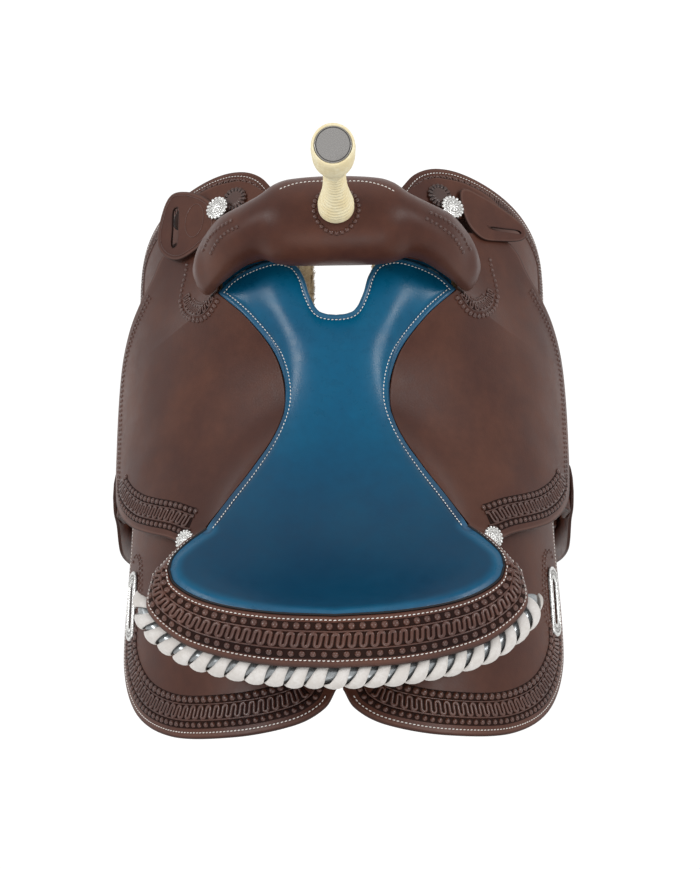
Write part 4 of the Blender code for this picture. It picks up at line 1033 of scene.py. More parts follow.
def build_jockeys(finish):
    """Seat jockeys with their stamped corners, front and rear jockeys, and the upper stirrup leathers."""
    front = undrape(smooth_line(JOCKEY_FRONT, 6 * 24 + 1))
    seam = undrape(smooth_line(SEAM, SEAM_ROWS * 24 + 1))
    inner = np.vstack([front[:-1], seam])
    inner[:, 0] += SEAM_GAP
    inner[-24:, 1] += np.linspace(0, 2 * SEAM_GAP, 24)
    outer = smooth_line(JOCKEY_OUTER, len(inner))
    for label, side in SIDES:
        _, top = back_panel("tooled_seat_jockey_" + label, inner, outer, JOCKEY_THICK, finish["brown"], side,
                            rows=44, ease=4.5, upright=True, wave=0.7, replaces=["seat_jockey_" + label])
        skin = draped_skin(tree_of(top), side)
        edge = smooth_line([point[:2] for point in JOCKEY_OUTER], 700)
        body_edge = edge[(edge[:, 1] < 235)]
        border = body_edge[(body_edge[:, 1] > -22)]
        parts = [bead_part(skin, inset(border, 11.0), 6.4, 2.0, 1.5),
                 bead_part(skin, inset(border, 17.0), 6.4, 1.8, 1.4)]
        corner = body_edge[(body_edge[:, 1] < 2) & (body_edge[:, 0] > 148)]
        parts += [bead_part(skin, inset(corner, 12.0), 8.6, 2.9, 2.0),
                  line_part(skin, inset(corner, 17.0)),
                  serpentine_part(skin, inset(corner[6:-4], 24.5), 6.2, 9.4),
                  line_part(skin, inset(corner[3:-3], 32.0)),
                  bead_part(skin, inset(corner[8:-3], 36.6), 8.6, 3.3, 2.1)]
        crescent = smooth_line([(168, 195), (161, 178), (147, 163), (132, 154), (118, 154), (103, 161)], 160)
        parts += [bead_part(skin, crescent, 7.6, 3.2, 2.3), line_part(skin, inset(crescent, 5.0)),
                  serpentine_part(skin, inset(crescent, 10.4), 4.2, 7.0, half_width=1.3, rise=1.5),
                  line_part(skin, inset(crescent, 15.6)[30:-30]),
                  bead_part(skin, inset(crescent, 18.8)[34:-34], 5.0, 1.8, 1.4),
                  bead_part(skin, [(168, 203), (167, 214), (164, 227), (162, 241)], 6.4, 2.4, 1.7)]
        add_piece("seat_jockey_tooling_" + label, *joined(parts), finish["tooled"])
        # Dark sheets under the stamped bands: the ground's own stain, darkened further as painted shade
        # between the raised lines.
        ground_shades = [floor_part(skin, inset(corner[6:-4], 24.5)[::2], 7.4),
                   floor_part(skin, inset(corner, 12.0)[::2], 4.0),
                   floor_part(skin, inset(corner[8:-3], 36.6)[::2], 4.2),
                   floor_part(skin, inset(crescent, 10.0), 5.6)]
        add_piece("seat_jockey_ground_" + label, *joined(ground_shades), finish["ground"])
        first, second = level_edges(FRONT_JOCKEY_INNER, FRONT_JOCKEY_OUTER, REAR_JOCKEY[1], 160)
        back_panel("front_jockey_leather_" + label, first, second, 3.5, finish["brown"], side, rows=12,
                   replaces=["front_jockey_" + label])
        # A dark cord along the front jockey's outer edge: a painted shadow of that edge on the leather below.
        ends = line_part(level_skin(REAR_JOCKEY[0] + 1.2, side), smooth_line(FRONT_JOCKEY_OUTER, 160),
                         1.3, 1.6)
        add_piece("front_jockey_edge_" + label, *ends, finish["ground"], slot="dark_leather")
        first, second = level_edges(REAR_JOCKEY_INNER, REAR_JOCKEY_OUTER, REAR_JOCKEY[1], 160)
        back_panel("rear_jockey_leather_" + label, first, second, 3.5, finish["brown"], side, rows=12,
                   replaces=["rear_jockey_" + label])
        half = 37.0
        first, second = level_edges([(132, LEATHER_Y + half), (132, LEATHER_Y - half)],
                                    [(306.5, LEATHER_Y + half - 4), (306.5, LEATHER_Y - half + 4)],
                                    UPPER_LEATHER[1], 40)
        back_panel("upper_leather_" + label, first, second, 3.5, finish["brown"], side, rows=30,
                   replaces=["upper_stirrup_leather_" + label])


def stiff_points(places, middle, low):
    """Lay (drop, y, level) places on the flat sheet that touches the barrel's height low at its middle."""
    centre, down, forward, outward = barrel_axes(*middle, low, 1)
    forward = forward + np.array([0, 0, 2 * RISE * middle[1] / RISE_REACH ** 2])
    run = (places[..., :1] - middle[0]) * (BARREL + low) / BARREL
    return centre + run * down + (places[..., 1:2] - middle[1]) * forward + places[..., 2:] * outward


def slotted_leather(name, outline, slot, middle, heights, finish, side, replaces):
    """A small flat sheet between its outline and a slot, both edges round."""
    outer = smooth_line(outline, 180, loop=True)
    inner = smooth_line(slot, 180, loop=True)
    start = np.argmin(np.linalg.norm(inner - outer[0], axis=1))
    inner = np.roll(inner, -start, axis=0)
    low, high = heights
    thick = high - low
    places, _, from_outer, from_inner = panel_places(
        np.column_stack([inner, np.full(180, thick)]), np.column_stack([outer, np.full(180, thick)]), 14)
    fall = edge_drop(from_outer, 0.42 * thick) + edge_drop(from_inner, 0.3 * thick)
    lower = places.copy()
    places[..., 2] -= fall
    lower[..., 2] = fall
    flip = np.array([side, 1, 1])
    # Darker at the outer edge, and darker along the slot's edge as painted shade inside the slot; a pale band
    # runs just inside the outer edge.
    marks = {"cut": np.exp(-from_outer / 1.0) + np.exp(-from_inner / 0.8),
             "rub": 0.6 * np.exp(-((from_outer - 2.0) / 1.0) ** 2)}
    top, bottom = (stiff_points(level, middle, low) * flip for level in (places, lower))
    return sheet(name, top, bottom, finish, wrap=True, marks=marks, replaces=replaces)


def build_small_leathers(finish):
    """The latigo keeper and the off-side strap holder, with two plain tooled lines on the keeper."""
    low, high = 54.5, 58.0
    slotted_leather("keeper_leather", KEEPER, KEEPER_SLOT, KEEPER_MIDDLE, (low, high), finish["brown"], -1,
                    ["latigo_keeper"])
    slotted_leather("strap_holder_leather", STRAP, STRAP_SLOT, STRAP_MIDDLE, (50.5, 53.5), finish["brown"], 1,
                    ["off_side_strap"])
    outward = barrel_axes(*KEEPER_MIDDLE, high, -1)[3]

    def skin(places):
        """Places on the keeper's face."""
        levels = np.full((len(places), 1), high - low)
        points = stiff_points(np.hstack([places, levels]), KEEPER_MIDDLE, low)
        return points * (-1, 1, 1), np.tile(outward, (len(places), 1))
    turn = np.linspace(0, 2 * math.pi, 40)
    oval = np.column_stack([147 + 12 * np.cos(turn), 289 + 21 * np.sin(turn)])
    loop = smooth_line(KEEPER, 300, loop=True)
    border = inset(loop, -5.0, closed=True)
    parts = [line_part(skin, oval, 0.5, 0.6), line_part(skin, np.vstack([border, border[:1]]), 0.5, 0.6)]
    add_piece("keeper_tooling", *joined(parts), finish["tooled"])


# ---------------------------------------------------------------- fork and horn

def fork_grid(stations, around, inset_by=0.0, opening=66.0):
    """The fork's leather: ovals across, open below for its legs."""
    half = np.array(FORK, float)
    whole = np.vstack([half[:0:-1] * np.array([-1, 1, 1, 1, 1]), half])
    line = smooth_line(whole, stations)
    turn = math.radians(270 + opening / 2) + np.linspace(0, 1, around) * math.radians(360 - opening)
    depth = np.maximum(line[:, 3:4] - inset_by, 0.15)
    height = np.maximum(line[:, 4:5] - inset_by, 0.15)
    x = np.broadcast_to(line[:, :1], (stations, around))
    grid = np.stack([x, line[:, 1:2] + depth * np.cos(turn), line[:, 2:3] + height * np.sin(turn)], axis=-1)
    return grid, turn


def horn_axes(height):
    """Middle of the horn at a height over its base, with its two directions across and the one along."""
    share = max(0.0, height / HORN_HEIGHT)
    lean = math.radians(17.0) * min(1.0, max(0.0, (height - 45) / 35))
    middle = np.array([HORN_X, HORN_Y + 7.5 * share ** 2, HORN_Z + height])
    return middle, np.array([1.0, 0, 0]), np.array([0, math.cos(lean), math.sin(lean)]), \
        np.array([0, -math.sin(lean), math.cos(lean)])


def rounded_square(count, ease_across, ease_along):
    """Points (across, along) of a square from -1 to 1 whose corners are rounder with a larger ease."""
    turn = np.linspace(0, 2 * math.pi, count, endpoint=False)
    return np.column_stack([np.sign(np.cos(turn)) * np.abs(np.cos(turn)) ** ease_across,
                            np.sign(np.sin(turn)) * np.abs(np.sin(turn)) ** ease_along])


def build_fork(finish):
    """Fork leather, its thread and bead rows by pixels of the photograph, and the beads round the horn."""
    top, turn = fork_grid(260, 120)
    bottom, _ = fork_grid(260, 120, FORK_LEATHER)
    # Darker along the open edges underneath, edge stain and painted shade under the fork; paler on the rear
    # face of the shoulders, a painted sheen.
    open_edge = np.minimum(np.arange(120), np.arange(120)[::-1])[None] * 1.6
    shoulders = np.exp(-((np.abs(top[..., 0]) - 128) / 22) ** 2)
    marks = {"cut": 0.7 * np.exp(-np.broadcast_to(open_edge, top.shape[:2]) / 2.5),
             "rub": 0.55 * shoulders * np.clip(-np.cos(turn), 0, 1)[None]}
    sheet("fork_leather", top, bottom, finish["brown"], marks=marks, replaces=["fork_cover"])
    tree = tree_of(top)
    sight = seen_skin(tree)
    for label, line in FORK_THREAD:
        stitches("fork_stitching_" + label, sight, line, finish["thread"])
    rows = [bead_part(sight, line, 6.0, 2.1, 1.6) for line in FORK_BEADS]
    ring = np.linspace(0, 2 * math.pi, 27)
    above = np.column_stack([HORN_X + 23 * np.sin(ring), HORN_Y + 23 * np.cos(ring), np.full(27, 230.0)])
    points, normals = struck(tree, above, np.tile([0, 0, -1.0], (27, 1)), np.tile([0, 0, 1.0], (27, 1)))
    template, faces = dome_shape(2.6, 1.9)
    side_way = unit(np.cross(normals, (0.3, 0.9, 0.1)))
    rows.append(copies(template, faces, points[:-1],
                       np.stack([side_way, np.cross(normals, side_way), normals], axis=1)[:-1]))
    add_piece("fork_tooling", *joined(rows), finish["tooled"])
    for label, side in SIDES:
        shape = rounded_square(40, 0.35, 0.35)
        rings = []
        for grow, level in ((4.4, 0), (4.5, 0.5), (4.5, 1.0), (0.9, 1.0), (0.9, 0.0)):
            x = 88 + shape[:, 0] * (16 + grow)
            y = 207 + shape[:, 1] * (8 + grow)
            foot = np.sqrt((BARREL + REAR_JOCKEY[0] + 0.8) ** 2 - x ** 2) - BARREL + back_rise(y)
            head = 86.0 + 0.5 * (108.4 - x)
            rings.append(np.column_stack([side * x, y, foot * (1 - level) + head * level]))
        points, faces = tube_mesh(rings, closed=True)
        add_piece("leg_sleeve_" + label, points, faces, finish["brown"], sharp=50,
                  replaces=["fork_leg_cover_" + label])


def build_horn(finish):
    """Rawhide wound round the horn, a smooth cap rim, and the bare metal disc on the cap."""
    outside = smooth_line([(0, 18.5), (9, 18), (20, 15.6), (36, 12.4), (54, 11), (66, 12), (76, 16), (84, 20),
                           (92, 21), (99, 21), (102, 20)], 260)
    inside = np.array([(102, 18.4), (98.8, 18.2), (81, 18.2), (71, 9.8), (60, 8.3), (20, 8.3), (7, 10.5),
                       (0, 13)])
    turn = np.linspace(0, 2 * math.pi, 96, endpoint=False)
    rings = []
    for height, radius in np.vstack([outside, inside]):
        middle, across, forward, _ = horn_axes(height)
        rings.append(middle + radius * (np.cos(turn)[:, None] * across + np.sin(turn)[:, None] * forward))
    rings = np.array(rings)
    heights = outside[:, 0]
    wound = fade(heights, 2, 8) * (1 - fade(heights, 74, 84))
    phase = heights[:, None] / WRAP_PITCH + turn[None] / (2 * math.pi)
    spin = np.sin(6 * turn)[None] * 0.35
    ridge = (np.abs(np.sin(math.pi * (phase + 0.15 * spin))) - 0.6) * 0.9
    rim = fade(heights, 88, 91) * (1 - fade(heights, 98, 100))
    cap = 0.35 * np.sin(24 * turn)[None] * rim[:, None] * 0.4
    centre = rings[:260].mean(axis=1, keepdims=True)
    rings[:260] += unit(rings[:260] - centre) * (ridge * wound[:, None] + cap)[..., None]
    points, faces = tube_mesh(rings, closed=True)
    add_piece("horn_rawhide_wrap", points, faces, finish["rawhide"], replaces=["horn_wrap"])
    profile = [(17.8, -2.8), (17.8, -1.3), (17.4, -0.95), (16.6, -0.9), (16.4, -1.35), (15.9, -1.35),
               (15.7, -0.95), (12, -0.9), (6, -0.9), (0.4, -0.9)]
    middle, across, forward, along = horn_axes(HORN_HEIGHT)
    rings = lathe([(17.8, -2.8)] + profile, (middle, across, forward, along), 96)
    points, faces = tube_mesh(rings)
    radii = np.repeat([17.8] + [radius for radius, _ in profile], 96)
    marks = np.concatenate([np.where((radii > 15.8) & (radii < 16.5), 1.0, 0.0), [0, 0]])
    add_piece("horn_disc", points, faces, finish["disc"], marks={"cut": marks},
              replaces=["horn_cap_disc"], sharp=50)


# ---------------------------------------------------------------- seat and cantle

def hole_rounding(x):
    """How far forward the middle of the hand hole's edge moves, so that both halves meet in a curve."""
    return 0.37 * (np.sqrt(x ** 2 + 49.0) - np.abs(x))


def relaxed(grid, weight, times):
    """A grid whose points move towards the mean of their four neighbours, again and again."""
    grid = grid.copy()
    inner = weight[1:-1, 1:-1, None]
    for _ in range(times):
        mean = (grid[:-2, 1:-1] + grid[2:, 1:-1] + grid[1:-1, :-2] + grid[1:-1, 2:]) / 4
        grid[1:-1, 1:-1] += (mean - grid[1:-1, 1:-1]) * inner
    return grid


def build_seat(finish):
    """Blue seat: the model's surface, swollen between its stitched edges, with a level band along the rim and
    soft creases where it bends."""
    grid = seat_grid(FINE)
    rim, _ = rim_and_edge(24)
    rim = mirrored(rim)
    front = mirrored(smooth_line(SEAT_FRONT, 500))
    grid[..., 1] += hole_rounding(grid[..., 0]) * np.exp(-distance_to(grid, front) / 10)
    front[:, 1] += hole_rounding(front[:, 0])
    seam = smooth_line(SEAM, 500)
    seams = np.vstack([seam * (-1, 1, 1), seam])
    outline = np.vstack([smooth_line(rim, 900), front, seams])
    weight = fade(distance_to(grid, outline), 2, 12)
    shift = relaxed(grid[::4, ::4], weight[::4, ::4], 70) - grid[::4, ::4]
    row, column = np.arange(grid.shape[0])[:, None] / 4, np.arange(grid.shape[1])[None] / 4
    grid = relaxed(grid + sampled(shift, row, column), weight, 40)
    from_rim = distance_to(grid, smooth_line(rim, 900))
    from_front = distance_to(grid, front)
    from_seam = distance_to(grid, seams)
    normals = grid_normals(grid)
    normals *= np.sign(normals[..., 2:])
    sewn = np.minimum(from_front, from_seam)
    arms = fade(grid[..., 1], 20, 110)
    dome = np.sin(math.pi / 2 * np.clip((sewn - 5.5) / 32, 0, 1))
    swell = (3.0 + 3.6 * arms) * dome * fade(from_rim, 4, 30) \
        - 0.8 * np.exp(-((sewn - 6.0) / 1.6) ** 2) * fade(from_rim, 5, 14)
    band = 5.2 * fade(from_rim, 0, 11) * (1 - fade(from_rim, 13, 44)) * fade(-grid[..., 1], 70, 150)
    x, y = np.abs(grid[..., 0]), grid[..., 1]
    crease_zone = np.exp(-((x - 46) / 18) ** 2 - ((y - 62) / 46) ** 2)
    crease = crease_zone * (0.45 * np.sin((x * 0.9 + y * 0.35) / 4.2 + 1.5 * lattice_noise(grid, 30.0, 8)))
    soft = 0.5 * lattice_noise(grid, 42.0, 9) * fade(sewn, 8, 30)
    top = grid + normals * (swell + crease + soft)[..., None]
    top[..., 2] += band
    edge = np.minimum(sewn, from_rim)
    top = relaxed(top, fade(edge, 7, 18), 50)
    top[..., 2] -= edge_drop(edge, 1.6) * 0.9
    bottom = grid - np.array([0, 0, SEAT_LEATHER])
    # Painted shade darkens the seat over its rear pocket up to near the rim; painted sheen pales the border
    # outside the stitches and a band along the rear rim. The line of the stitches is darker too.
    painted_pocket_shade = 0.75 * fade(-grid[..., 1], -60, 150) * fade(from_rim, 6, 16)
    border = 0.3 * (1 - fade(sewn, 4.6, 6.2)) \
        + 0.3 * (1 - fade(from_rim, 4, 8)) * fade(-grid[..., 1], 70, 150)
    marks = {"cut": np.clip(0.5 * np.exp(-((sewn - 6.0) / 1.2) ** 2) + painted_pocket_shade, 0, 1),
             "rub": np.clip(border, 0, 0.7)}
    seat = sheet("seat_cover", top, bottom, finish["blue"], marks=marks, replaces=["seat_leather"])
    tree = tree_of(top)

    def skin(places):
        """Places (x, y) dropped on the seat."""
        above = np.column_stack([places, np.full(len(places), 260.0)])
        down = np.tile([0.0, 0.0, -1.0], (len(places), 1))
        return struck(tree, above, down, -down)
    line = inset(front[::2, :2], 6.0)[6:-6]
    stitches("seat_front_stitching", skin, line, finish["thread"], pitch=4.2, length=3.1)
    for label, side in SIDES:
        line = inset(smooth_line(SEAM, 400)[:, :2], 5.5)[12:-6] * (side, 1)
        stitches("seat_seam_stitching_" + label, skin, line, finish["thread"],
                 pitch=4.2, length=3.1)
    build_seat_lip(finish)
    foam_top = seat_grid(6)
    for _ in range(2):
        foam_top = drawn_in(foam_top, 6)
    foam_top[..., 2] -= SEAT_LEATHER + FOAM_GAP
    lower = foam_top - np.array([0, 0, SEAT_FOAM])
    foam = sheet("seat_foam_pad", foam_top, lower, finish["foam"], replaces=["seat_foam"])


def build_seat_lip(finish):
    """Blue leather that goes on under the fork from the seat's front edge, one strip on each side."""
    line = smooth_line(SEAT_FRONT, 200)[90:-8]
    back = line - np.array([0, 4.0, 1.2])
    ahead = line + np.array([0, 9.0, -3.0])
    share = np.linspace(0, 1, 6)[:, None, None]
    top = back * (1 - share) + ahead * share
    for label, side in SIDES:
        flip = np.array([side, 1, 1])
        sheet("seat_lip_" + label, top * flip, (top - np.array([0, 0, 1.6])) * flip, finish["blue"])


def drawn_in(grid, fine):
    """A grid whose rows and columns keep a little inside its own border."""
    rows = np.linspace(0.12, (len(grid) - 1) / fine - 0.12, len(grid)) * fine
    columns = np.linspace(0.3, (grid.shape[1] - 1) / fine - 0.3, grid.shape[1]) * fine
    return sampled(grid, rows[:, None], columns[None])


def sampled(grid, row, column):
    """Points of a grid at fractional rows and columns, blended between its corners."""
    row, column = np.broadcast_arrays(row, column)
    i = np.clip(row.astype(int), 0, grid.shape[0] - 2)
    j = np.clip(column.astype(int), 0, grid.shape[1] - 2)
    a, b = (row - i)[..., None], (column - j)[..., None]
    return (grid[i, j] * (1 - a) * (1 - b) + grid[i + 1, j] * a * (1 - b)
            + grid[i, j + 1] * (1 - a) * b + grid[i + 1, j + 1] * a * b)


def roll_grids(fine, across):
    """Upper and lower faces of the cantle roll: an arched strip from the seat's rim to its outer edge."""
    rim, edge = [mirrored(half) for half in rim_and_edge(fine)]
    out = unit((edge - rim) * np.array([1, 1, 0]))
    start = rim + out * 0.7
    span = edge - start
    width = np.linalg.norm(span[:, :2], axis=1)[:, None]
    drop = -span[:, 2:]
    share = np.linspace(0, 1, across)[None]
    arch = np.sin(math.pi * share) ** 0.8
    plan = start[:, None] + span[:, None] * share[..., None] * np.array([1, 1, 0])
    upper, lower = plan.copy(), plan.copy()
    upper[..., 2] = start[:, 2:] + 0.16 * width * arch - drop * share ** 1.5 + 0.5
    lower[..., 2] = start[:, 2:] + 0.10 * width * arch - drop * share ** 1.5 - 4.5
    return upper, lower


def build_roll(finish):
    """The cantle roll with its two stitched lines, bead rows and winding band."""
    upper, lower = roll_grids(20, 49)
    share = np.linspace(0, 1, 49)[None]
    width = np.linalg.norm(upper[:, -1] - upper[:, 0], axis=1)[:, None]
    from_edge = np.minimum(share, 1 - share) * width
    fall = edge_drop(from_edge, 2.2)
    upper[..., 2] -= fall
    lower[..., 2] += fall * 0.6
    marks = {"cut": 0.8 * np.exp(-from_edge / 0.9), "rub": 0.5 * np.exp(-((from_edge - 3.2) / 1.4) ** 2)}
    sheet("rolled_cantle_binding", upper, lower, finish["brown"], marks=marks,
          replaces=["cheyenne_roll"])
    normals = grid_normals(upper)
    normals *= np.sign(normals[..., 2:])
    middle_run = running_length(upper[:, 24])
    half = middle_run[-1] / 2

    def skin(places):
        """Places on the roll: run from its middle, and share of its width."""
        row = np.interp(places[:, 0] + half, middle_run, np.arange(len(middle_run)))
        column = places[:, 1] * 48
        return sampled(upper, row, column), unit(sampled(normals, row, column))

    def level(place, reach, count=500):
        """A line along the roll at one place of its width."""
        run = np.linspace(-reach, reach, count)
        return np.column_stack([run, np.full(count, float(place))])

    def scaled_skin(places):
        """As skin, with the width counted in 48 steps."""
        return skin(np.column_stack([places[:, 0], places[:, 1] / 48.0]))
    end = half - 6
    stitches("roll_inner_stitching", skin, level(0.105, end), finish["thread"])
    stitches("roll_outer_stitching", skin, level(0.885, half - 40), finish["thread"])
    tooled = half - 62
    parts = [bead_part(skin, level(0.24, tooled), 10.2, 3.2, 2.1), line_part(skin, level(0.345, tooled)),
             line_part(skin, level(0.675, tooled)), bead_part(skin, level(0.77, tooled), 10.2, 3.0, 2.0),
             serpentine_part(scaled_skin, level(24.5, tooled, 900), 5.9, 10.4)]
    add_piece("roll_tooling", *joined(parts), finish["tooled"])
    # Dark sheets under the stamped bands: the ground's own stain, darkened further as painted shade between
    # the raised lines.
    ground_shades = [floor_part(scaled_skin, level(place, tooled, 300), reach)
               for place, reach in ((24.5, 7.4), (11.5, 4.3), (37.0, 4.3))]
    add_piece("roll_ground", *joined(ground_shades), finish["ground"])
    rim = mirrored(rim_and_edge(20)[0])
    line = smooth_line(rim, 420)
    out = np.array([0, 0, 1.0])
    welt_points, welt_faces = cord_part(line + np.array([0, 0, 0.1]), np.tile(out, (420, 1)), 1.1, 1.3)
    add_piece("seat_welt", welt_points, welt_faces, finish["black"])


def build_cantle_back(finish):
    """Leather that covers the cantle's back, from under the roll down to the tree."""
    fine = 12
    rim, edge = [mirrored(half) for half in rim_and_edge(fine)]
    out = unit((edge - rim) * np.array([1, 1, 0]))
    keep = slice((TIP_ROWS + 1) * fine, -(TIP_ROWS + 1) * fine)
    rim, out = rim[keep], out[keep]
    foot = undrape(rim * np.array([0.93, 0.93, 1]))
    foot[:, 2] = TREE_TOP + 0.8
    foot = drape(foot)
    shoulder = rim - np.array([0, 0, 12])
    lean = (shoulder - foot) / (shoulder - foot)[:, 2:]
    low = foot + lean * (REAR_JOCKEY[1] + 1.6 - TREE_TOP) * 1.25
    share = np.linspace(0, 1, 26)[:, None, None]
    wall = shoulder[None] * (1 - share) + low[None] * share
    bow = 1.2 * np.sin(math.pi * share)
    inner = wall + out[None] * 1.8
    outer = wall + out[None] * (4.8 + bow)
    from_end = np.broadcast_to(np.minimum(share, 1 - share)[..., 0] * 60, outer.shape[:2])
    outer -= out[None] * edge_drop(from_end, 1.4)[..., None]
    sheet("cantle_back_leather", outer, inner, finish["brown"], replaces=["cantle_back"],
          marks={"cut": 0.7 * np.exp(-from_end / 1.2)})


def build_lacing(finish):
    """Flat rawhide lace whipped round a cord under the roll: a ribbon along a helix."""
    _, half = rim_and_edge(24)
    path = mirrored(half[half[:, 1] < LACE_END_Y])
    tangent = np.gradient(path, axis=0)
    out = unit(np.stack([tangent[:, 1], -tangent[:, 0], np.zeros(len(path))], axis=-1))
    path = path + out * 3 - np.array([0, 0, LACE_DEPTH])
    path = smooth_line(path, LACE_LOOPS * LACE_STEPS + 1)
    tangent = unit(np.gradient(path, axis=0))
    out = unit(np.cross(tangent, [0, 0, 1]))
    up = np.cross(out, tangent)
    turn = (np.arange(len(path)) / LACE_STEPS * 2 * math.pi)[:, None]
    radial = out * np.cos(turn) + up * np.sin(turn)
    middle = path + LACE_COIL * radial + 2.6 * np.sin(turn - 1.0) * tangent
    along = unit(np.gradient(middle, axis=0))
    across = unit(np.cross(radial, along))
    around = np.linspace(0, 2 * math.pi, 16, endpoint=False)
    pinch = 1 - 0.10 * lattice_noise(middle, 14.0, 21)[:, None]
    wide = (7.3 - 2.3 * np.sin(turn - 0.6)) * pinch \
        * np.sign(np.cos(around)) * np.abs(np.cos(around)) ** 0.8
    thick = 1.7 * np.sin(around)[None] * np.ones_like(pinch)
    lift = 0.35 * lattice_noise(middle, 6.0, 22)[:, None]
    rings = (middle[:, None] + wide[..., None] * across[:, None]
             + (thick + lift + 0.6 - 0.028 * wide ** 2)[..., None] * radial[:, None])
    points, faces = tube_mesh(rings)
    add_piece("whipped_lace", points, faces, finish["lace"], replaces=["cantle_lacing"])
    ring = np.linspace(0, 2 * math.pi, 20, endpoint=False)[None, :, None]
    rings = path[::6, None] + CORD_RADIUS * (np.cos(ring) * out[::6, None] + np.sin(ring) * up[::6, None])
    points, faces = tube_mesh(rings)
    add_piece("lace_cord", points, faces, finish["core"], replaces=["lacing_core"])


# ---------------------------------------------------------------- silver and rosettes

def concho_parts(axes, radius):
    """A round concho: dished centre with petals, a rope ring, and a border of berries."""
    middle, across, forward, outward = axes
    radii = np.linspace(0.02, 1.0, 26)
    turn = np.linspace(0, 2 * math.pi, 96, endpoint=False)
    share = radii[:, None]
    petals = 0.35 * np.cos(8 * turn)[None] * np.exp(-((share - 0.38) / 0.2) ** 2)
    rope = 0.3 * np.cos(32 * turn)[None] * np.exp(-((share - 0.68) / 0.06) ** 2)
    rise = 3.4 * (1 - share ** 2) ** 0.7 + petals + rope + 0.5 * np.exp(-(share / 0.14) ** 2)
    rise = rise - 0.45 * np.exp(-((share - 0.58) / 0.035) ** 2) - 0.45 * np.exp(-((share - 0.78) / 0.03) ** 2)
    flat = radius * 0.86 * share * np.ones_like(rise)
    ring = np.cos(turn)[:, None] * across + np.sin(turn)[:, None] * forward
    rings = middle + flat[..., None] * ring[None] + (rise + 0.4)[..., None] * outward
    base = middle + radius * 0.86 * ring
    body = tube_mesh(np.concatenate([rings, base[None]]))
    count = 17
    spots = np.linspace(0, 2 * math.pi, count, endpoint=False)
    places = middle + radius * 0.87 * (np.cos(spots)[:, None] * across + np.sin(spots)[:, None] * forward) \
        + outward * 0.5
    template, faces = dome_shape(radius * 0.14, radius * 0.13)
    facing = np.repeat(np.stack([across, forward, outward])[None], count, axis=0)
    berries = copies(template, faces, places, facing)
    dirt = np.exp(-((share - 0.58) / 0.03) ** 2) + np.exp(-((share - 0.78) / 0.03) ** 2) \
        + np.clip(-petals * 2.0, 0, 0.5)
    marks = np.concatenate([(dirt * np.ones_like(rise)).ravel(), np.zeros(96), [0, 0],
                            np.zeros(len(berries[0]))])
    return joined([body, berries]), marks


def build_silver(finish):
    """Conchos, the scalloped rosettes under the front ones, and the slotted plates."""
    for label, side in SIDES:
        for place, (drop, y, height, radius) in (("front", FRONT_CONCHO[side]), ("rear", REAR_CONCHO)):
            (points, faces), marks = concho_parts(barrel_axes(drop, y, height, side), radius)
            add_piece("berry_concho_%s_%s" % (place, label), points, faces, finish["silver"],
                      marks={"cut": marks}, replaces=["%s_concho_%s" % (place, label)])
        build_rosette(finish, label, side)
        build_flank_plate(finish, label, side)


def build_rosette(finish, label, side):
    """A leather rosette with a scalloped edge and cuts that run out from its middle."""
    turn = np.linspace(0, 2 * math.pi, 160, endpoint=False)
    middle, down, forward, outward = barrel_axes(*FRONT_ROSETTE, 49.5, side)
    scallop = 14.0 + 1.6 * np.abs(np.sin(8 * turn))
    profile = [(1.0, 0.0, 0), (1.0, 1.8, 0), (0.96, 2.6, 1), (0.88, 2.9, 1), (0.8, 2.9, 1), (0.72, 2.8, 1),
               (0.64, 2.3, 0), (0.58, 2.8, 0), (0.4, 2.9, 0), (0.05, 2.9, 0)]
    cuts = 1.5 * np.exp(-(np.sin(8 * turn) / 0.4) ** 2)
    rings = []
    for share, rise, carved in profile:
        ring = np.cos(turn)[:, None] * down + np.sin(turn)[:, None] * forward
        rings.append(middle + (share * scallop)[:, None] * ring + (rise - carved * cuts)[:, None] * outward)
    points, faces = tube_mesh(rings)
    dirt = np.concatenate([carved * cuts for _, _, carved in profile] + [[0, 0]])
    add_piece("scalloped_rosette_" + label, points, faces, finish["rosette"], sharp=60,
              marks={"cut": dirt}, replaces=["front_rosette_" + label])


def build_flank_plate(finish, label, side):
    """Slotted oval plate: raised rope borders round its edge and slot, with engraved leaves between."""
    drop, y = FLANK_PLATE
    middle, down, forward, outward = barrel_axes(drop, y, SKIRT[1] + 1.2, side)
    outer, hole = oblong(82, 24, 60), oblong(54, 11, 60)
    share = np.array([0, 0, 0.06, 0.16, 0.26, 0.34, 0.5, 0.66, 0.74, 0.84, 0.94, 1, 1])
    rise = np.array([0, 1.2, 1.9, 2.3, 1.9, 1.35, 1.5, 1.35, 1.9, 2.3, 1.9, 1.2, 0])
    run = running_length(outer)
    leaves = 0.35 * np.sin(run / run[-1] * 2 * math.pi * 30)
    rings = []
    for part, height in zip(share, rise):
        loop = outer * (1 - part) + hole * part
        level = height + leaves * math.exp(-((part - 0.5) / 0.1) ** 2)
        rings.append(middle + loop[:, :1] * down + loop[:, 1:] * forward + level[:, None] * outward)
    points, faces = tube_mesh(rings, closed=True)
    grooves = np.exp(-((share - 0.34) / 0.03) ** 2) + np.exp(-((share - 0.66) / 0.03) ** 2)
    add_piece("engraved_flank_plate_" + label, points, faces, finish["silver"],
              marks={"cut": np.repeat(grooves, len(outer))}, replaces=["flank_plate_" + label], sharp=60)


# ---------------------------------------------------------------- hanging leathers

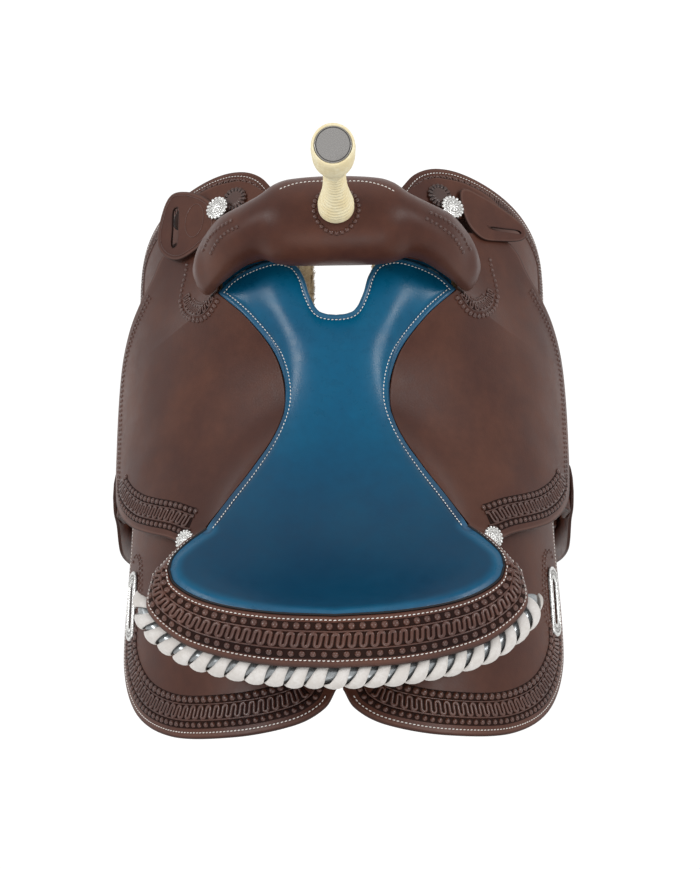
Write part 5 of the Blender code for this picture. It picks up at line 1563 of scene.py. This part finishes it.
def flat_sheet(name, middle, half, thick, normal, finish, body, replaces, columns=25):
    """A strap: a straight cross line carried along a path, with round edges on both faces."""
    across = np.array([0.0, 1.0, 0.0])
    steps = np.concatenate([[-1, -0.985, -0.96], np.linspace(-0.92, 0.92, columns), [0.96, 0.985, 1]])
    offset = half[:, None] * steps[None]
    from_edge = half[:, None] - np.abs(offset)
    lift = thick / 2 - edge_drop(from_edge, 0.42 * thick) - 0.25 * np.exp(-((from_edge - 5.0) / 0.6) ** 2)
    base = middle[:, None] + offset[..., None] * across
    top = base + lift[..., None] * normal[:, None]
    bottom = base - lift[..., None] * normal[:, None]
    marks = {"cut": 0.7 * np.exp(-from_edge / 0.9) + 0.6 * np.exp(-((from_edge - 5.0) / 0.5) ** 2)}
    return sheet(name, top, bottom, finish, body, marks=marks, replaces=replaces)


def build_leathers(finish):
    """The bend of each stirrup leather with the roll that it hinges on, its fender and its strap."""
    for label, side in SIDES:
        flip = np.array([side, 1, 1])
        path = smooth_line([(LIFT_X - 1.5, LIFT_Z, 31), (LIFT_X + 5, LIFT_Z - 10, 32),
                            (TAB_X - 0.25, LIFT_Z - 22, 33), (TAB_X, -195, 33), (TAB_X, -210, 32),
                            (TAB_X, -224, 26), (TAB_X, -233, 14)], 60)
        middle = np.column_stack([path[:, 0], np.full(60, LEATHER_Y), path[:, 1]])
        along = unit(np.gradient(middle, axis=0))
        normal = unit(np.cross([0, 1.0, 0], along))
        normal *= np.sign(normal[:, :1])
        flat_sheet("leather_bend_" + label, middle * flip, path[:, 2], 3.3, normal * flip, finish["brown"],
                   "leather_" + label, ["leather_hanger_" + label])
        turn = np.linspace(0, 2 * math.pi, 16, endpoint=False)
        roll = np.column_stack([LIFT_X - 0.8 + 2.6 * np.cos(turn), np.zeros(16),
                                LIFT_Z + 0.2 + 2.6 * np.sin(turn)])
        rings = [(roll + np.array([0, LEATHER_Y + reach, 0])) * flip for reach in (-32.5, 32.5)]
        points, faces = tube_mesh(rings)
        add_piece("leather_roll_" + label, points, faces, finish["brown"], sharp=50)
        build_fender(finish, label, flip)
        build_strap(finish, label, flip)


def build_fender(finish, label, flip):
    """Fender: a flat shaped sheet with round edges, a stitched border and two bead rows."""
    front = smooth_line(FENDER_FRONT, 160)
    rear = smooth_line(FENDER_REAR, 160)
    flat, _, from_front, from_rear = panel_places(rear, front, 30)
    ends = np.minimum(np.arange(160), np.arange(160)[::-1])[None] * 2.1
    from_edge = np.minimum(np.minimum(from_front, from_rear), ends)
    lift = 2.0 - edge_drop(from_edge, 1.6)
    x = np.mean(FENDER_X)
    top = np.stack([x + lift, flat[..., 0], flat[..., 1]], axis=-1) * flip
    bottom = np.stack([x - lift, flat[..., 0], flat[..., 1]], axis=-1) * flip
    body = "fender_assembly_" + label
    marks = {"cut": 0.7 * np.exp(-from_edge / 1.0), "rub": 0.5 * np.exp(-((from_edge - 2.6) / 1.3) ** 2)}
    sheet("fender_leather_" + label, top, bottom, finish["brown"], body, marks=marks,
          replaces=["fender_" + label])
    loop = np.vstack([front, rear[::-1]])
    centre = np.array([18.0, -300.0])
    toward = unit(np.gradient(loop, axis=0))
    inward = np.stack([toward[:, 1], -toward[:, 0]], axis=-1)
    inward *= np.sign(np.einsum("ij,ij->i", inward, centre - loop))[:, None]

    def skin(places):
        """Places (y, z) on the fender's outer face."""
        count = len(places)
        points = np.column_stack([np.full(count, FENDER_X[1]), places])
        return points * flip, np.tile([flip[0], 0.0, 0.0], (count, 1))
    for part, line in (("front", (front + inward[:160] * 5.0)[6:-2]),
                       ("rear", (rear[::-1] + inward[160:] * 5.0)[2:-6])):
        stitches("fender_stitching_%s_%s" % (part, label), skin, line, finish["thread"], body, pitch=4.9)
    parts = []
    for depth, size in ((11.0, 1.3), (16.5, 1.3)):
        parts.append(bead_part(skin, (front + inward[:160] * depth)[26:-6], 6.4, size, 0.8))
        parts.append(bead_part(skin, (rear[::-1] + inward[160:] * depth)[6:-26], 6.4, size, 0.8))
    add_piece("fender_tooling_" + label, *joined(parts), finish["tooled"], body)


def build_strap(finish, label, flip):
    """The sliding stirrup strap, down round the bolt and up again, with its hobble strap."""
    body = "strap_assembly_" + label
    radius = BOLT_RADIUS + STRAP_GAP + STRAP_THICK / 2
    turn = np.linspace(math.pi, 2 * math.pi, 24)
    down = np.column_stack([np.full(60, BOLT_X - radius), np.linspace(STRAP_TOP, BOLT_Z + 1, 60)])
    bend = np.column_stack([BOLT_X + radius * np.cos(turn), BOLT_Z + radius * np.sin(turn)])
    up = down[::-1] * (0, 1) + (BOLT_X + radius, 0)
    path = np.vstack([down, bend, up])
    middle = np.column_stack([path[:, 0], np.full(len(path), LEATHER_Y), path[:, 1]])
    along = unit(np.gradient(middle, axis=0))
    normal = unit(np.cross([0, 1.0, 0], along))
    flat_sheet("strap_leather_" + label, middle * flip, np.full(len(path), 30.0), 3.3, normal * flip,
               finish["brown"], body, ["stirrup_strap_" + label])
    outer = BOLT_RADIUS + STRAP_GAP + STRAP_THICK
    shape = rounded_square(72, 0.3, 0.18)
    rings = []
    for grow, z in ((2.2, -545), (2.9, -544), (3.1, -541), (3.1, -527), (2.9, -524), (2.2, -523),
                    (0.7, -523), (0.5, -534), (0.7, -545)):
        x = BOLT_X + shape[:, 0] * (outer + grow)
        y = LEATHER_Y + shape[:, 1] * (31.2 + grow)
        rings.append(np.column_stack([x, y, np.full(len(shape), z)]) * flip)
    points, faces = tube_mesh(rings, closed=True)
    add_piece("hobble_leather_" + label, points, faces, finish["dark"], body,
              replaces=["hobble_strap_" + label], sharp=60)


# ---------------------------------------------------------------- kept solids, light and camera

def dress_kept_solids(finish):
    """Give the solids that stay as they are their finer finishes."""
    plain = {"tree_bar": "wood", "tree_fork": "wood", "tree_cantle": "wood", "horn_core": "steel",
             "ground_seat": "dark", "rigging_plate": "steel", "leather_buckle": "steel",
             "hobble_buckle": "steel", "stirrup_frame": "steel", "stirrup_bolt": "steel",
             "stirrup_tread": "rubber"}
    for name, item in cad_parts.items():
        kind = name.replace("_left", "").replace("_right", "")
        if kind in plain:
            for slot in item.material_slots:
                slot.material = finish[plain[kind]]


def add_light(name, place, aim, size, power):
    """A round lamp aimed at a place, in metres and watts."""
    data = bpy.data.lights.new(name, "AREA")
    data.shape = "DISK"
    data.size = size
    data.energy = power
    item = bpy.data.objects.new(name, data)
    item.location = place
    item.rotation_mode = "QUATERNION"
    item.rotation_quaternion = (Vector(aim) - Vector(place)).to_track_quat("-Z", "Y")
    bpy.context.scene.collection.objects.link(item)


def seen_rays(tree):
    """A socket that is 1 for rays of the camera, of reflections and through glass, else 0."""
    rays = tree.nodes.new("ShaderNodeLightPath")
    seen = sums(tree, "MAXIMUM", rays.outputs["Is Camera Ray"], rays.outputs["Is Glossy Ray"], (-600, 0))
    return sums(tree, "MAXIMUM", seen, rays.outputs["Is Transmission Ray"], (-400, 0))


def build_studio():
    """Pale floor under the stirrups, white surroundings and soft lamps."""
    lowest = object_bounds()[0][2] - 0.004
    mesh = bpy.data.meshes.new("studio_floor")
    reach = 9.0
    mesh.from_pydata([(-reach, -reach, lowest), (reach, -reach, lowest), (reach, reach, lowest),
                      (-reach, reach, lowest)], [], [(0, 1, 2, 3)])
    floor = bpy.data.objects.new("studio_floor", mesh)
    bpy.context.scene.collection.objects.link(floor)
    material = bpy.data.materials.new("studio_white")
    material.use_nodes = True
    tree = material.node_tree
    shader = tree.nodes["Principled BSDF"]
    shader.inputs["Base Color"].default_value = (0.86, 0.86, 0.86, 1)
    shader.inputs["Roughness"].default_value = 0.9
    shader.inputs["Specular IOR Level"].default_value = 0.1
    glow = tree.nodes.new("ShaderNodeEmission")
    glow.inputs["Strength"].default_value = 1.14
    mix = tree.nodes.new("ShaderNodeMixShader")
    tree.links.new(sums(tree, "MULTIPLY", seen_rays(tree), 0.8, (-200, 0)), mix.inputs[0])
    tree.links.new(shader.outputs[0], mix.inputs[1])
    tree.links.new(glow.outputs[0], mix.inputs[2])
    tree.links.new(mix.outputs[0], tree.nodes["Material Output"].inputs[0])
    mesh.materials.append(material)

    world = bpy.data.worlds.new("studio")
    bpy.context.scene.world = world
    world.use_nodes = True
    tree = world.node_tree
    background = tree.nodes["Background"]
    strength = sums(tree, "MULTIPLY_ADD", seen_rays(tree), 0.5, (-200, 0))
    strength.node.inputs[2].default_value = 0.5
    tree.links.new(strength, background.inputs["Strength"])
    background.inputs["Color"].default_value = (1, 1, 1, 1)
    add_light("key_left", (-2.0, 0.3, 2.0), (0, 0, 0.05), 0.9, 27)
    add_light("key_right", (2.0, 0.3, 2.0), (0, 0, 0.05), 0.9, 25)
    add_light("fill", (0.2, -2.3, 1.4), (0, 0, 0), 1.4, 15)
    add_light("front", (-0.2, 2.0, 1.5), (0, 0.1, 0), 2.0, 4)


def build_camera():
    """The camera of the photograph."""
    data = bpy.data.cameras.new("photo_view")
    data.sensor_width = SENSOR
    data.lens = FOCAL / PHOTO[1] * SENSOR
    data.clip_start, data.clip_end = 0.05, 60.0
    camera = bpy.data.objects.new("photo_view", data)
    ahead, right, up = view_axes()
    rows = [[right[k], up[k], -ahead[k], EYE[k] * MM] for k in range(3)]
    camera.matrix_world = Matrix(rows + [[0, 0, 0, 1]])
    bpy.context.scene.collection.objects.link(camera)
    bpy.context.scene.camera = camera


def main():
    """Build the whole scene."""
    bpy.context.scene.view_settings.view_transform = "Standard"
    finish = make_finishes()
    build_camera()
    dress_kept_solids(finish)
    build_fleece(finish)
    build_skirts(finish)
    build_jockeys(finish)
    build_small_leathers(finish)
    build_fork(finish)
    build_horn(finish)
    build_seat(finish)
    build_roll(finish)
    build_cantle_back(finish)
    build_lacing(finish)
    build_silver(finish)
    build_leathers(finish)
    build_studio()


main()
